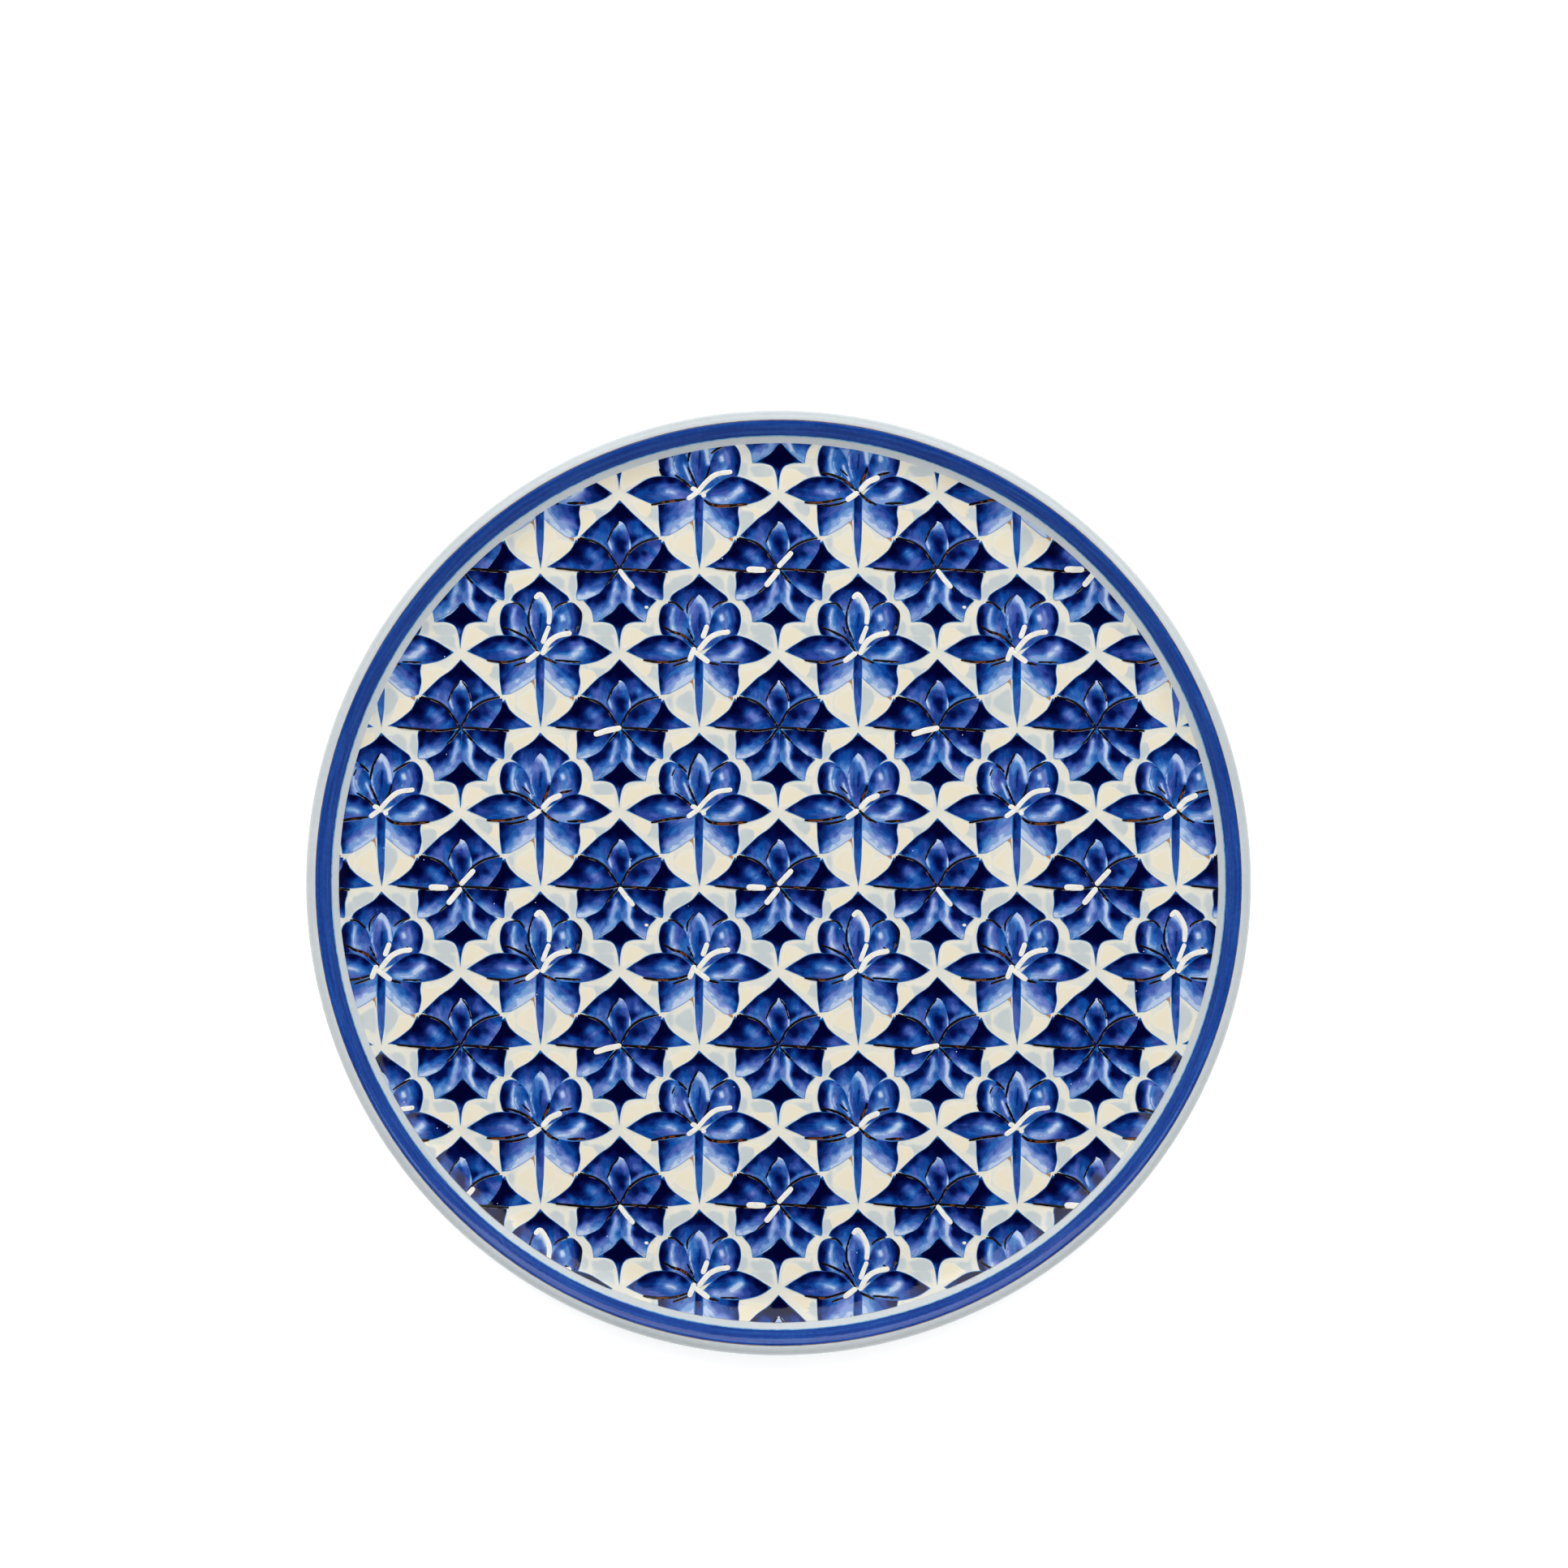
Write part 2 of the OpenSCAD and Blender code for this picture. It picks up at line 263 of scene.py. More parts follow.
def cobalt_paint(name):
    """Cobalt brushed thin over white: a tone from the mesh, in washes that dried with ragged edges."""
    s = Shader(name, roughness=0.1, specular=0.35)
    along = s.attribute("brush", vector=True)
    bristles = s.noise(s.stretched(along, (0.2, 0.75, 1.0)), 1.0, detail=3, roughness=0.5)
    pools = s.noise(s.position(), 420.0, detail=4)
    fine = s.noise(s.position(), 2300.0, detail=2)
    tone = s.attribute("tone")
    # Dark paint hides the brushing, and half tones show it most.
    body = s.span(tone, 0.02, 0.4)
    shift = s.math("MULTIPLY", s.math("SUBTRACT", bristles, 0.5), 0.3)
    shift = s.math("ADD", shift, s.math("MULTIPLY", s.math("SUBTRACT", pools, 0.5), 0.18))
    shift = s.math("ADD", shift, s.math("MULTIPLY", s.math("SUBTRACT", fine, 0.5), 0.1))
    tone = s.math("ADD", tone, s.math("MULTIPLY", shift, body), clamp=True)
    # Each wash ends in a fairly sharp step of tone.
    washes = s.math("MULTIPLY", tone, WASHES)
    step = s.math("ADD", s.math("FLOOR", washes), s.span(s.math("FRACT", washes), 0.3, 0.7))
    tone = s.math("MULTIPLY", tone, 1 - STEPPED)
    tone = s.math("ADD", tone, s.math("MULTIPLY", step, STEPPED / WASHES), clamp=True)
    colour = s.ramp(tone, COBALT)
    # Where the load was heavy the blue turns violet, and where it was thin, a little green.
    hue = s.noise(s.stretched(along, (0.10, 0.30, 1.0)), 1.0, detail=2)
    half_tone = s.math("MULTIPLY", s.span(tone, 0.2, 0.5), s.span(tone, 0.72, 1.0, 1.0, 0.25))
    violet = s.math("MULTIPLY", s.span(hue, 0.44, 0.66, 0.0, 0.7), half_tone)
    colour = s.mix(violet, colour, s.ramp(tone, VIOLET))
    azure = s.math("MULTIPLY", s.span(hue, 0.34, 0.52, 0.55, 0.0), half_tone)
    colour = s.mix(azure, colour, s.ramp(tone, AZURE))
    # At its edge the cobalt bleeds into the glaze as a thin bright blue.
    bleed = s.span(s.attribute("edge"), 0.02, 0.32, 0.85, 0.0)
    colour = s.mix(bleed, colour, linear(40, 122, 200))
    # Grains of glaze left bare.
    grains = s.math("LESS_THAN", s.cells(s.position(), 330.0), 0.055)
    sparse = s.math("GREATER_THAN", s.noise(s.position(), 90.0, detail=1), 0.60)
    colour = s.mix(s.math("MULTIPLY", grains, sparse), colour, linear(190, 205, 235))
    return s.finish(colour, height=s.math("ADD", pools, bristles), distance=0.00003)


# The tone of the plain ivory ground, between bare cool glaze at 0 and warm cream at 1.
IVORY = 0.55


def cream_enamel():
    """Ground enamel, in soft clouds: its patches are cool or warm, and ivory lies between them."""
    s = Shader("cream_enamel", roughness=0.16, specular=0.4)
    clouds = s.noise(s.position(), 190.0, detail=4)
    strokes = s.noise(s.stretched(s.position(), (1.0, 0.35, 1.0)), 700.0, detail=3)
    # Each patch fades from the ivory round it to its own colour over a millimetre.
    reach = s.math("ADD", s.attribute("edge"), s.math("MULTIPLY", s.math("SUBTRACT", strokes, 0.5), 0.9))
    patch = s.math("MULTIPLY", s.span(reach, -0.05, 1.05), s.math("SUBTRACT", s.attribute("tone"), IVORY))
    tone = s.math("ADD", patch, IVORY)
    tone = s.math("ADD", tone, s.math("MULTIPLY", s.math("SUBTRACT", clouds, 0.5), 0.7), clamp=True)
    colour = s.ramp(
        tone,
        (
            (0.00, (194, 202, 203)),
            (0.22, (204, 210, 209)),
            (0.40, (214, 217, 211)),
            (IVORY, (225, 223, 210)),
            (0.70, (233, 229, 214)),
            (1.00, (233, 224, 200)),
        ),
    )
    return s.finish(colour, height=s.math("ADD", clouds, strokes), distance=0.00006)


def white_slip():
    """Raised white strokes: thick slip with a slight cream cast."""
    s = Shader("white_slip", roughness=0.18, specular=0.4)
    clouds = s.noise(s.position(), 500.0, detail=4)
    colour = s.ramp(clouds, ((0.3, (224, 222, 211)), (0.5, (237, 234, 224)), (0.7, (243, 240, 231))))
    return s.finish(colour, height=clouds, distance=0.00005)


def brown_line():
    """Iron brown pencilled line: near black where it lies thick, rust where it thins."""
    s = Shader("brown_line", roughness=0.3, specular=0.25)
    run = s.noise(s.position(), 75.0, detail=1)
    grain = s.noise(s.position(), 1500.0, detail=3)
    edge = s.attribute("edge")
    tone = s.math("MULTIPLY", s.span(edge, 0.15, 0.27), s.span(run, 0.25, 0.5))
    tone = s.math("ADD", tone, s.math("MULTIPLY", s.math("SUBTRACT", grain, 0.5), 0.2), clamp=True)
    colour = s.ramp(tone, ((0.0, (5, 3, 7)), (0.45, (52, 22, 10)), (1.0, (112, 52, 18))))
    # A painted highlight: the line turns pale tan along its lower right edge, the side the light falls on.
    side = s.attribute("tone")
    thin = s.math("MULTIPLY", s.span(side, 0.22, 0.4), s.span(edge, 0.02, 0.09, 1.0, 0.0))
    colour = s.mix(s.math("MULTIPLY", thin, 0.9), colour, linear(186, 170, 160))
    colour = s.mix(s.span(side, 0.6, 0.9), colour, linear(172, 128, 88))
    return s.finish(colour, height=run, distance=0.00004)


def white_glaze():
    """Cool white tin glaze, a little uneven, with a few pinholes."""
    s = Shader("white_glaze", roughness=0.07, specular=0.5)
    wash = s.noise(s.position(), 18.0, detail=3)
    grain = s.noise(s.position(), 700.0, detail=3)
    tone = s.math("ADD", s.math("MULTIPLY", wash, 0.7), s.math("MULTIPLY", grain, 0.3))
    colour = s.ramp(tone, ((0.3, (188, 196, 199)), (0.5, (199, 206, 209)), (0.7, (210, 216, 217))))
    pinhole = s.math("LESS_THAN", s.cells(s.position(), 160.0), 0.035)
    rare = s.math("GREATER_THAN", s.noise(s.position(), 40.0, detail=1), 0.62)
    colour = s.mix(s.math("MULTIPLY", pinhole, rare), colour, linear(120, 104, 86))
    ripple = s.noise(s.position(), 55.0, detail=2)
    return s.finish(colour, height=ripple, distance=0.00012)


def band_cobalt():
    """The rim's turned band: one long brush load, pooling and thinning round the plate."""
    s = Shader("band_cobalt", roughness=0.09, specular=0.5)
    long_run = s.noise(s.stretched(s.attribute("brush", vector=True), (0.045, 1.3, 1.0)), 1.0, detail=5)
    grain = s.noise(s.position(), 900.0, detail=3)
    tone = s.math("ADD", s.math("MULTIPLY", long_run, 0.75), s.math("MULTIPLY", grain, 0.25))
    colour = s.ramp(tone, ((0.30, (8, 42, 122)), (0.5, (20, 66, 152)), (0.70, (38, 90, 172))))
    return s.finish(colour, height=grain, distance=0.00003)


def band_edge_brown():
    """The wheel-drawn line that closes the band: brown let down with much water."""
    s = Shader("band_edge_brown", roughness=0.15, specular=0.45)
    grain = s.noise(s.position(), 500.0, detail=4)
    return s.finish(s.ramp(grain, ((0.35, (74, 56, 70)), (0.65, (122, 100, 104)))))


def bleed_blue():
    """The pale line where the band's cobalt runs into the glaze."""
    s = Shader("bleed_blue", roughness=0.1, specular=0.45)
    grain = s.noise(s.position(), 600.0, detail=4)
    colour = s.ramp(grain, ((0.35, (60, 140, 200)), (0.65, (130, 190, 224))))
    return s.finish(colour)


def fired_clay():
    """Bare fired earthenware: sandy, pitted, a little darker in its pores."""
    s = Shader("fired_clay", roughness=0.85, specular=0.25)
    sand = s.noise(s.position(), 1500.0, detail=6, roughness=0.7)
    patches = s.noise(s.position(), 60.0, detail=3)
    tone = s.math("ADD", s.math("MULTIPLY", sand, 0.6), s.math("MULTIPLY", patches, 0.4))
    colour = s.ramp(tone, ((0.3, (158, 118, 86)), (0.5, (196, 156, 118)), (0.7, (216, 182, 146))))
    return s.finish(colour, height=sand, distance=0.0002)


# ---- Outlines and flat patches ----


def smooth_run(points, tolerance=0.012, shortest=0.35, longest=1.3):
    """Points along the smooth curve that passes through these, closer together where it bends more."""
    p = np.array(points, float)
    p = np.vstack([2 * p[0] - p[1], p, 2 * p[-1] - p[-2]])
    out = [p[1]]
    for a, b, c, d in zip(p, p[1:], p[2:], p[3:]):
        knots = np.cumsum([0, *(max(math.dist(u, v), 1e-6) ** 0.5 for u, v in ((a, b), (b, c), (c, d)))])
        span = math.dist(b, c)
        t = np.linspace(knots[1], knots[2], 9)[:, None]
        q1 = a + (b - a) * (t - knots[0]) / (knots[1] - knots[0])
        q2 = b + (c - b) * (t - knots[1]) / (knots[2] - knots[1])
        q3 = c + (d - c) * (t - knots[2]) / (knots[3] - knots[2])
        q4 = q1 + (q2 - q1) * (t - knots[0]) / (knots[2] - knots[0])
        q5 = q2 + (q3 - q2) * (t - knots[1]) / (knots[3] - knots[1])
        curve = q4 + (q5 - q4) * (t - knots[1]) / (knots[2] - knots[1])
        sagitta = np.linalg.norm(curve[4] - (curve[0] + curve[8]) / 2)
        radius = span**2 / (8 * max(sagitta, 1e-4))
        step = min(max(math.sqrt(8 * radius * tolerance), shortest), longest)
        count = max(1, round(span / step))
        places = np.linspace(0, 8, count + 1)[1:]
        low = np.floor(places).astype(int).clip(0, 7)
        out += list(curve[low] + (curve[low + 1] - curve[low]) * (places - low)[:, None])
    return out


def outline(*runs):
    """Closed outline of smooth runs that meet at corners. Each run ends where the next begins."""
    loop = []
    for i, run in enumerate(runs):
        loop += smooth_run([*run, runs[(i + 1) % len(runs)][0]])[:-1]
    return np.array(loop)


def blob(points):
    """Closed smooth outline with no corner."""
    n = len(points)
    wrapped = [*points[-2:], *points, *points[:3]]
    whole = []
    for i in range(n):
        a, b, c, d = (np.array(wrapped[i + k + 1], float) for k in range(4))
        for t in np.linspace(0, 1, 6)[:-1]:
            square, cube = 2 * a - 5 * b + 4 * c - d, 3 * b - a - 3 * c + d
            whole.append(0.5 * (2 * b + (c - a) * t + square * t**2 + cube * t**3))
    return np.array(whole)


def stroke(points, width, thin):
    """Outline of a brush stroke through these points. Its round ends are narrower by the share thin."""
    mid = np.array(smooth_run(points, shortest=0.5, longest=0.9))
    way = np.gradient(mid, axis=0)
    way /= np.linalg.norm(way, axis=1)[:, None]
    side = np.stack([-way[:, 1], way[:, 0]], 1)
    at = np.linspace(0, 1, len(mid))
    swell = np.sin(at * math.pi) ** 0.5
    half = width / 2 * (1 - thin + thin * swell)
    left, right = mid + side * half[:, None], mid - side * half[:, None]

    def cap(centre, out, across, reach):
        turns = np.linspace(0, math.pi, 6)[1:-1]
        return [centre + reach * (across * math.cos(a) + out * math.sin(a)) for a in turns]

    end = cap(mid[-1], way[-1], side[-1], half[-1])
    start = cap(mid[0], -way[0], -side[0], half[0])
    return np.array([*left, *end, *right[::-1], *start])[::-1]


def edge_distance(points, loop):
    """Distance of each point from an outline."""
    a, b = loop, np.roll(loop, -1, 0)
    run = b - a
    along = ((points[:, None] - a) * run).sum(2) / np.maximum((run**2).sum(1), 1e-9)
    nearest = a + along.clip(0, 1)[:, :, None] * run
    return np.linalg.norm(points[:, None] - nearest, axis=2).min(1)


def inside(points, loop):
    """Which points are inside an outline."""
    x, y = points[:, :1], points[:, 1:]
    x1, y1 = loop.T
    x2, y2 = np.roll(loop, -1, 0).T
    crosses = (y1 > y) != (y2 > y)
    at = x1 + (x2 - x1) * (y - y1) / np.where(y2 == y1, 1e-9, y2 - y1)
    return (crosses & (x < at)).sum(1) % 2 == 1


def wobbled(loop, rng, amount):
    """The outline as a hand paints it, wandering a little off its line."""
    ahead = np.roll(loop, -1, 0) - np.roll(loop, 1, 0)
    side = np.stack([-ahead[:, 1], ahead[:, 0]], 1) / np.maximum(np.linalg.norm(ahead, axis=1), 1e-6)[:, None]
    length = np.cumsum(np.linalg.norm(loop - np.roll(loop, 1, 0), axis=1))
    whole = length[-1]
    wander = np.zeros(len(loop))
    for cycles in (2, 3, 5, 8, 13):
        wander += np.sin(length / whole * 2 * math.pi * cycles + rng.uniform(0, 2 * math.pi)) / cycles**0.5
    return loop + side * (wander * amount / 2)[:, None]


def beside(paths):
    """Points along soft strokes, closer together than the rest of a patch needs."""
    out = []
    for path, width, _ in paths:
        mid = np.array(smooth_run(path, shortest=0.3, longest=0.6))
        way = np.gradient(mid, axis=0)
        way /= np.linalg.norm(way, axis=1)[:, None]
        side = np.stack([-way[:, 1], way[:, 0]], 1) * width
        out += [mid, mid + side * 0.6, mid - side * 0.6, mid + side * 1.3, mid - side * 1.3]
    return np.vstack(out)


# How much further apart than the dots the dark and pale tones end up, and the tone that stays as it is.
CONTRAST = 0.22
MIDDLE_TONE = 0.45
# Squared distance over which a dot's tone is level, so that tones blend without a peak at each dot.
DOT_SOFTNESS = 0.6


class Patch:
    """A flat triangulated shape with the distance of each point from its edge."""

    def __init__(self, loop, spacing=0.9, inset=0.28, glints=()):
        low, high = loop.min(0), loop.max(0)
        xs = np.arange(low[0], high[0] + spacing, spacing)
        ys = np.arange(low[1], high[1] + spacing, spacing * 0.866)
        grid = np.array([(x + (j % 2) * spacing / 2, y) for j, y in enumerate(ys) for x in xs])
        grid = grid[inside(grid, loop)] if len(grid) else grid
        grid = grid[edge_distance(grid, loop) > inset + spacing * 0.42] if len(grid) else grid
        ahead = np.roll(loop, -1, 0) - np.roll(loop, 1, 0)
        length = np.maximum(np.linalg.norm(ahead, axis=1), 1e-6)[:, None]
        inward = np.stack([-ahead[:, 1], ahead[:, 0]], 1) / length
        area = (loop[:, 0] * np.roll(loop[:, 1], -1) - np.roll(loop[:, 0], -1) * loop[:, 1]).sum() / 2
        ring = loop + inward * inset * (1 if area > 0 else -1)
        ring = ring[inside(ring, loop)]
        ring = ring[edge_distance(ring, loop) > inset * 0.8] if len(ring) else ring
        if glints:
            fine = beside(glints)
            fine = fine[inside(fine, loop)]
            fine = fine[edge_distance(fine, loop) > inset * 1.3]
            if len(fine) and len(grid):
                clear = np.linalg.norm(grid[:, None] - fine, axis=2).min(1) > spacing * 0.45
                grid = grid[clear]
            grid = np.vstack([grid, fine]) if len(grid) else fine
        points = np.vstack([part for part in (loop, ring, grid) if len(part)])
        n = len(loop)
        edges = [(i, (i + 1) % n) for i in range(n)]
        verts, _, faces, *_ = delaunay_2d_cdt([Vector(p) for p in points], edges, [list(range(n))], 1, 1e-4)
        self.xy = np.array([tuple(v) for v in verts])
        self.tris = np.array([f for f in faces if len(f) == 3], int)
        a, b, c = (self.xy[self.tris[:, k]] for k in range(3))
        turn = (b[:, 0] - a[:, 0]) * (c[:, 1] - a[:, 1]) - (b[:, 1] - a[:, 1]) * (c[:, 0] - a[:, 0])
        flat = np.abs(turn) < 1e-7
        self.tris[turn < 0] = self.tris[turn < 0][:, ::-1]
        self.tris = self.tris[~flat]
        self.edge = edge_distance(self.xy, loop)


def toned(xy, dots, glints):
    """Tone at each point: blended from the dots, then brushed over by the glints."""
    dots = np.array(dots, float)
    away = ((xy[:, None] - dots[:, :2]) ** 2).sum(2)
    weight = 1 / (away + DOT_SOFTNESS) ** 1.7
    tone = (weight * dots[:, 2]).sum(1) / weight.sum(1)
    for path, width, level in glints:
        path = np.array(path, float)
        near = np.full(len(xy), 1e9)
        for a, b in zip(path, path[1:]):
            along = ((xy - a) @ (b - a) / max((b - a) @ (b - a), 1e-9)).clip(0, 1)
            near = np.minimum(near, np.linalg.norm(xy - a - along[:, None] * (b - a), axis=1))
        share = np.exp(-((near / width) ** 2))
        tone = tone + (level - tone) * share
    return np.clip(tone + CONTRAST * (tone - MIDDLE_TONE), 0, 1)


# ---- Meshes ----


def within(xy, tris, values, radius):
    """The part of a flat mesh inside a circle about the plate's axis, cut cleanly along it.

    values holds a column for each attribute.
    """
    r = np.linalg.norm(xy, axis=1)
    keep = r <= radius
    if keep.all():
        return xy, tris, values
    count = keep[tris].sum(1)
    points, columns = list(xy), list(values)
    out = [tuple(t) for t in tris[count == 3]]
    cuts = {}

    def cut(i, j):
        key = (min(i, j), max(i, j))
        if key not in cuts:
            t = (radius - r[i]) / (r[j] - r[i])
            cuts[key] = len(points)
            points.append(xy[i] + (xy[j] - xy[i]) * t)
            columns.append(values[i] + (values[j] - values[i]) * t)
        return cuts[key]

    for t in tris[(count > 0) & (count < 3)]:
        ring = []
        for i, j in zip(t, np.roll(t, -1)):
            if keep[i]:
                ring.append(i)
            if keep[i] != keep[j]:
                ring.append(cut(i, j))
        out += [(ring[0], ring[k], ring[k + 1]) for k in range(1, len(ring) - 1)]
    if not out:
        return None
    out = np.array(out, int)
    used, tris = np.unique(out, return_inverse=True)
    return np.array(points)[used], tris.reshape(-1, 3), np.array(columns)[used]


class Layer:
    """Collects the solids of one colour of paint and writes them as one object."""

    def __init__(self):
        self.verts, self.tris, self.tone, self.edge, self.brush = [], [], [], [], []
        self.total = 0

    def add(self, patch, knot, tone, lift, thick, shoulder=0.6, angle=0.0, crown=0.0, dry=0.0):
        """Lays a patch at a knot as a closed solid, lift above the glaze, with a round shoulder and a crown.

        A dry patch bleeds less at its edge.
        """
        x, y = patch.xy.T
        c, s = math.cos(angle), math.sin(angle)
        brush = np.stack([x * c + y * s, -x * s + y * c], 1)
        values = np.column_stack([tone, patch.edge, brush + np.array(knot) * 0.37])
        cut = within(patch.xy + knot, patch.tris, values, FIELD_R)
        if cut is None:
            return
        xy, tris, values = cut
        n = len(xy)
        ground = front_z(np.linalg.norm(xy, axis=1))
        d = values[:, 1]
        rise = np.sqrt(1 - (1 - np.clip(d / shoulder, 0, 1)) ** 2)
        top = ground + lift + thick * (0.5 + 0.5 * rise) + crown * (1 - np.exp(-d / 2.0))
        upper = np.column_stack([xy, top])
        lower = np.column_stack([xy, ground + min(lift, 0.0) - 0.02])
        sides = np.sort(np.vstack([tris[:, [0, 1]], tris[:, [1, 2]], tris[:, [2, 0]]]), axis=1)
        way = np.vstack([tris[:, [0, 1]], tris[:, [1, 2]], tris[:, [2, 0]]])
        _, first, uses = np.unique(sides, axis=0, return_index=True, return_counts=True)
        rim = way[first[uses == 1]]
        walls = np.vstack(
            [
                np.column_stack([rim[:, 1], rim[:, 0], rim[:, 0] + n]),
                np.column_stack([rim[:, 1], rim[:, 0] + n, rim[:, 1] + n]),
            ]
        )
        self.verts += [upper, lower]
        self.tris.append(np.vstack([tris, tris[:, ::-1] + n, walls]) + self.total)
        self.tone += [values[:, 0], values[:, 0]]
        self.edge += [d + dry, np.full(n, dry)]
        self.brush += [values[:, 2:], values[:, 2:]]
        self.total += 2 * n

    def write(self, name, node, material):
        verts = np.vstack(self.verts) * MM
        made = mesh_object(name, verts, np.vstack(self.tris), material)
        add_values(made.data, "tone", np.concatenate(self.tone))
        add_values(made.data, "edge", np.concatenate(self.edge))
        add_vectors(made.data, "brush", np.vstack(self.brush))
        return stands_for(made, node)


def slot_of(node):
    for row in frame["record"]["subparts"]:
        if row["node"] == node:
            return row["material_slot"]
    raise KeyError(node)


def stands_for(made, node):
    """Puts a piece in the place of a CAD node, on the plate's one body."""
    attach(made, "root")
    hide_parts(node)
    return made


def add_values(mesh, name, values):
    mesh.attributes.new(name, "FLOAT", "POINT").data.foreach_set("value", np.asarray(values, np.float32))


def add_vectors(mesh, name, pairs):
    flat = np.column_stack([pairs, np.zeros(len(pairs))]).astype(np.float32).ravel()
    mesh.attributes.new(name, "FLOAT_VECTOR", "POINT").data.foreach_set("vector", flat)


def mesh_object(name, verts, faces, material, sharp=50):
    mesh = bpy.data.meshes.new(name)
    faces = np.asarray(faces)
    size = faces.shape[1]
    mesh.vertices.add(len(verts))
    mesh.vertices.foreach_set("co", np.asarray(verts, np.float32).ravel())
    mesh.loops.add(faces.size)
    mesh.loops.foreach_set("vertex_index", faces.astype(np.int32).ravel())
    mesh.polygons.add(len(faces))
    mesh.polygons.foreach_set("loop_start", np.arange(0, faces.size, size, dtype=np.int32))
    mesh.update(calc_edges=True)
    mesh.validate()
    mesh.shade_smooth()
    mesh.set_sharp_from_angle(angle=math.radians(sharp))
    mesh.materials.append(material)
    made = bpy.data.objects.new(name, mesh)
    bpy.context.scene.collection.objects.link(made)
    return made


def arc(centre, radius, start, end, count):
    """Points of an arc, by angles in degrees."""
    turns = np.radians(np.linspace(start, end, count))
    return [(centre[0] + radius * math.cos(a), centre[1] + radius * math.sin(a)) for a in turns]


def lathe(name, node, profile, material, steps=360):
    """Turns a closed profile of (radius, height) points about Z. It runs clockwise, right of the axis."""
    profile = np.array(profile, float)
    turns = np.linspace(0, 2 * math.pi, steps, endpoint=False)
    axis = profile[:, 0] < 1e-6
    verts, index = [], np.zeros((steps, len(profile)), int)
    for k, (r, z) in enumerate(profile):
        if axis[k]:
            index[:, k] = len(verts)
            verts.append((0, 0, z))
            continue
        index[:, k] = len(verts) + np.arange(steps)
        verts += list(zip(r * np.cos(turns), r * np.sin(turns), np.full(steps, z)))
    following = np.roll(index, -1, 0)
    ahead = np.roll(np.arange(len(profile)), -1)
    faces = []
    for k, m in enumerate(ahead):
        if axis[k] and axis[m]:
            continue
        a, b, c, d = index[:, k], index[:, m], following[:, m], following[:, k]
        if axis[k]:
            faces += list(zip(a, b, c))
        elif axis[m]:
            faces += list(zip(a, b, d))
        else:
            faces += list(zip(a, b, c)) + list(zip(a, c, d))
    made = mesh_object(name, np.array(verts) * MM, np.array(faces), material, sharp=40)
    xy = np.array(verts)
    around = np.arctan2(xy[:, 1], xy[:, 0])
    r = np.linalg.norm(xy[:, :2], axis=1)
    add_vectors(made.data, "brush", np.column_stack([np.abs(around) * PLATE_R, r]))
    return stands_for(made, node)


def band_of_paint(name, node, inner, outer, thick, material, steps=900, across=9, sway=0.08):
    """A turned band of paint on the front between two radii, whose edges sway a little."""
    turns = np.linspace(0, 2 * math.pi, steps, endpoint=False)
    edges = []
    for radius, seed in ((inner, 1.0), (outer, 2.3)):
        edges.append(radius + sway * sum(np.sin(turns * n + seed * n) / n**0.5 for n in (3, 7, 12, 19)) / 2)
    share = (1 - np.cos(np.linspace(0, math.pi, across))) / 2
    r = edges[0][:, None] + (edges[1] - edges[0])[:, None] * share
    d = np.minimum(r - edges[0][:, None], edges[1][:, None] - r)
    shoulder = min(0.5, (outer - inner) / 2)
    rise = np.sqrt(1 - (1 - np.clip(d / shoulder, 0, 1)) ** 2)
    top = front_z(r) + 0.02 + thick * rise
    low = front_z(r) - 0.02
    x, y = r * np.cos(turns)[:, None], r * np.sin(turns)[:, None]
    upper = np.stack([x, y, top], 2).reshape(-1, 3)
    lower = np.stack([x, y, low], 2).reshape(-1, 3)
    index = np.arange(steps * across).reshape(steps, across)
    after = np.roll(index, -1, 0)
    n = steps * across
    a, b, c, e = index[:, :-1].ravel(), index[:, 1:].ravel(), after[:, 1:].ravel(), after[:, :-1].ravel()
    quads = [np.column_stack([a, b, c, e]), np.column_stack([e, c, b, a]) + n]
    quads.append(np.column_stack([index[:, 0], after[:, 0], after[:, 0] + n, index[:, 0] + n]))
    quads.append(np.column_stack([after[:, -1], index[:, -1], index[:, -1] + n, after[:, -1] + n]))
    made = mesh_object(name, np.vstack([upper, lower]) * MM, np.vstack(quads), material)
    around = np.where(turns > math.pi, 2 * math.pi - turns, turns) * PLATE_R
    brush = np.stack([np.broadcast_to(around[:, None], r.shape), r], 2).reshape(-1, 2)
    add_vectors(made.data, "brush", np.vstack([brush, brush]))
    add_values(made.data, "edge", np.concatenate([d.ravel(), d.ravel()]))
    add_values(made.data, "tone", np.zeros(2 * n))
    return stands_for(made, node)


# ---- The painting's shapes ----


def petal(node, level, angle, runs, dots, glints=()):
    """A petal of a flower: its node, its level in the pile, its brush's angle, and its outline's smooth runs.

    A dot is (x, y, tone), and a glint is (path, width, tone).
    """
    return node, outline(*runs), dots, glints, level, angle


def both(*dots):
    """Dots on both sides of a flower."""
    return [*dots, *((-x, y, tone) for x, y, tone in dots)]


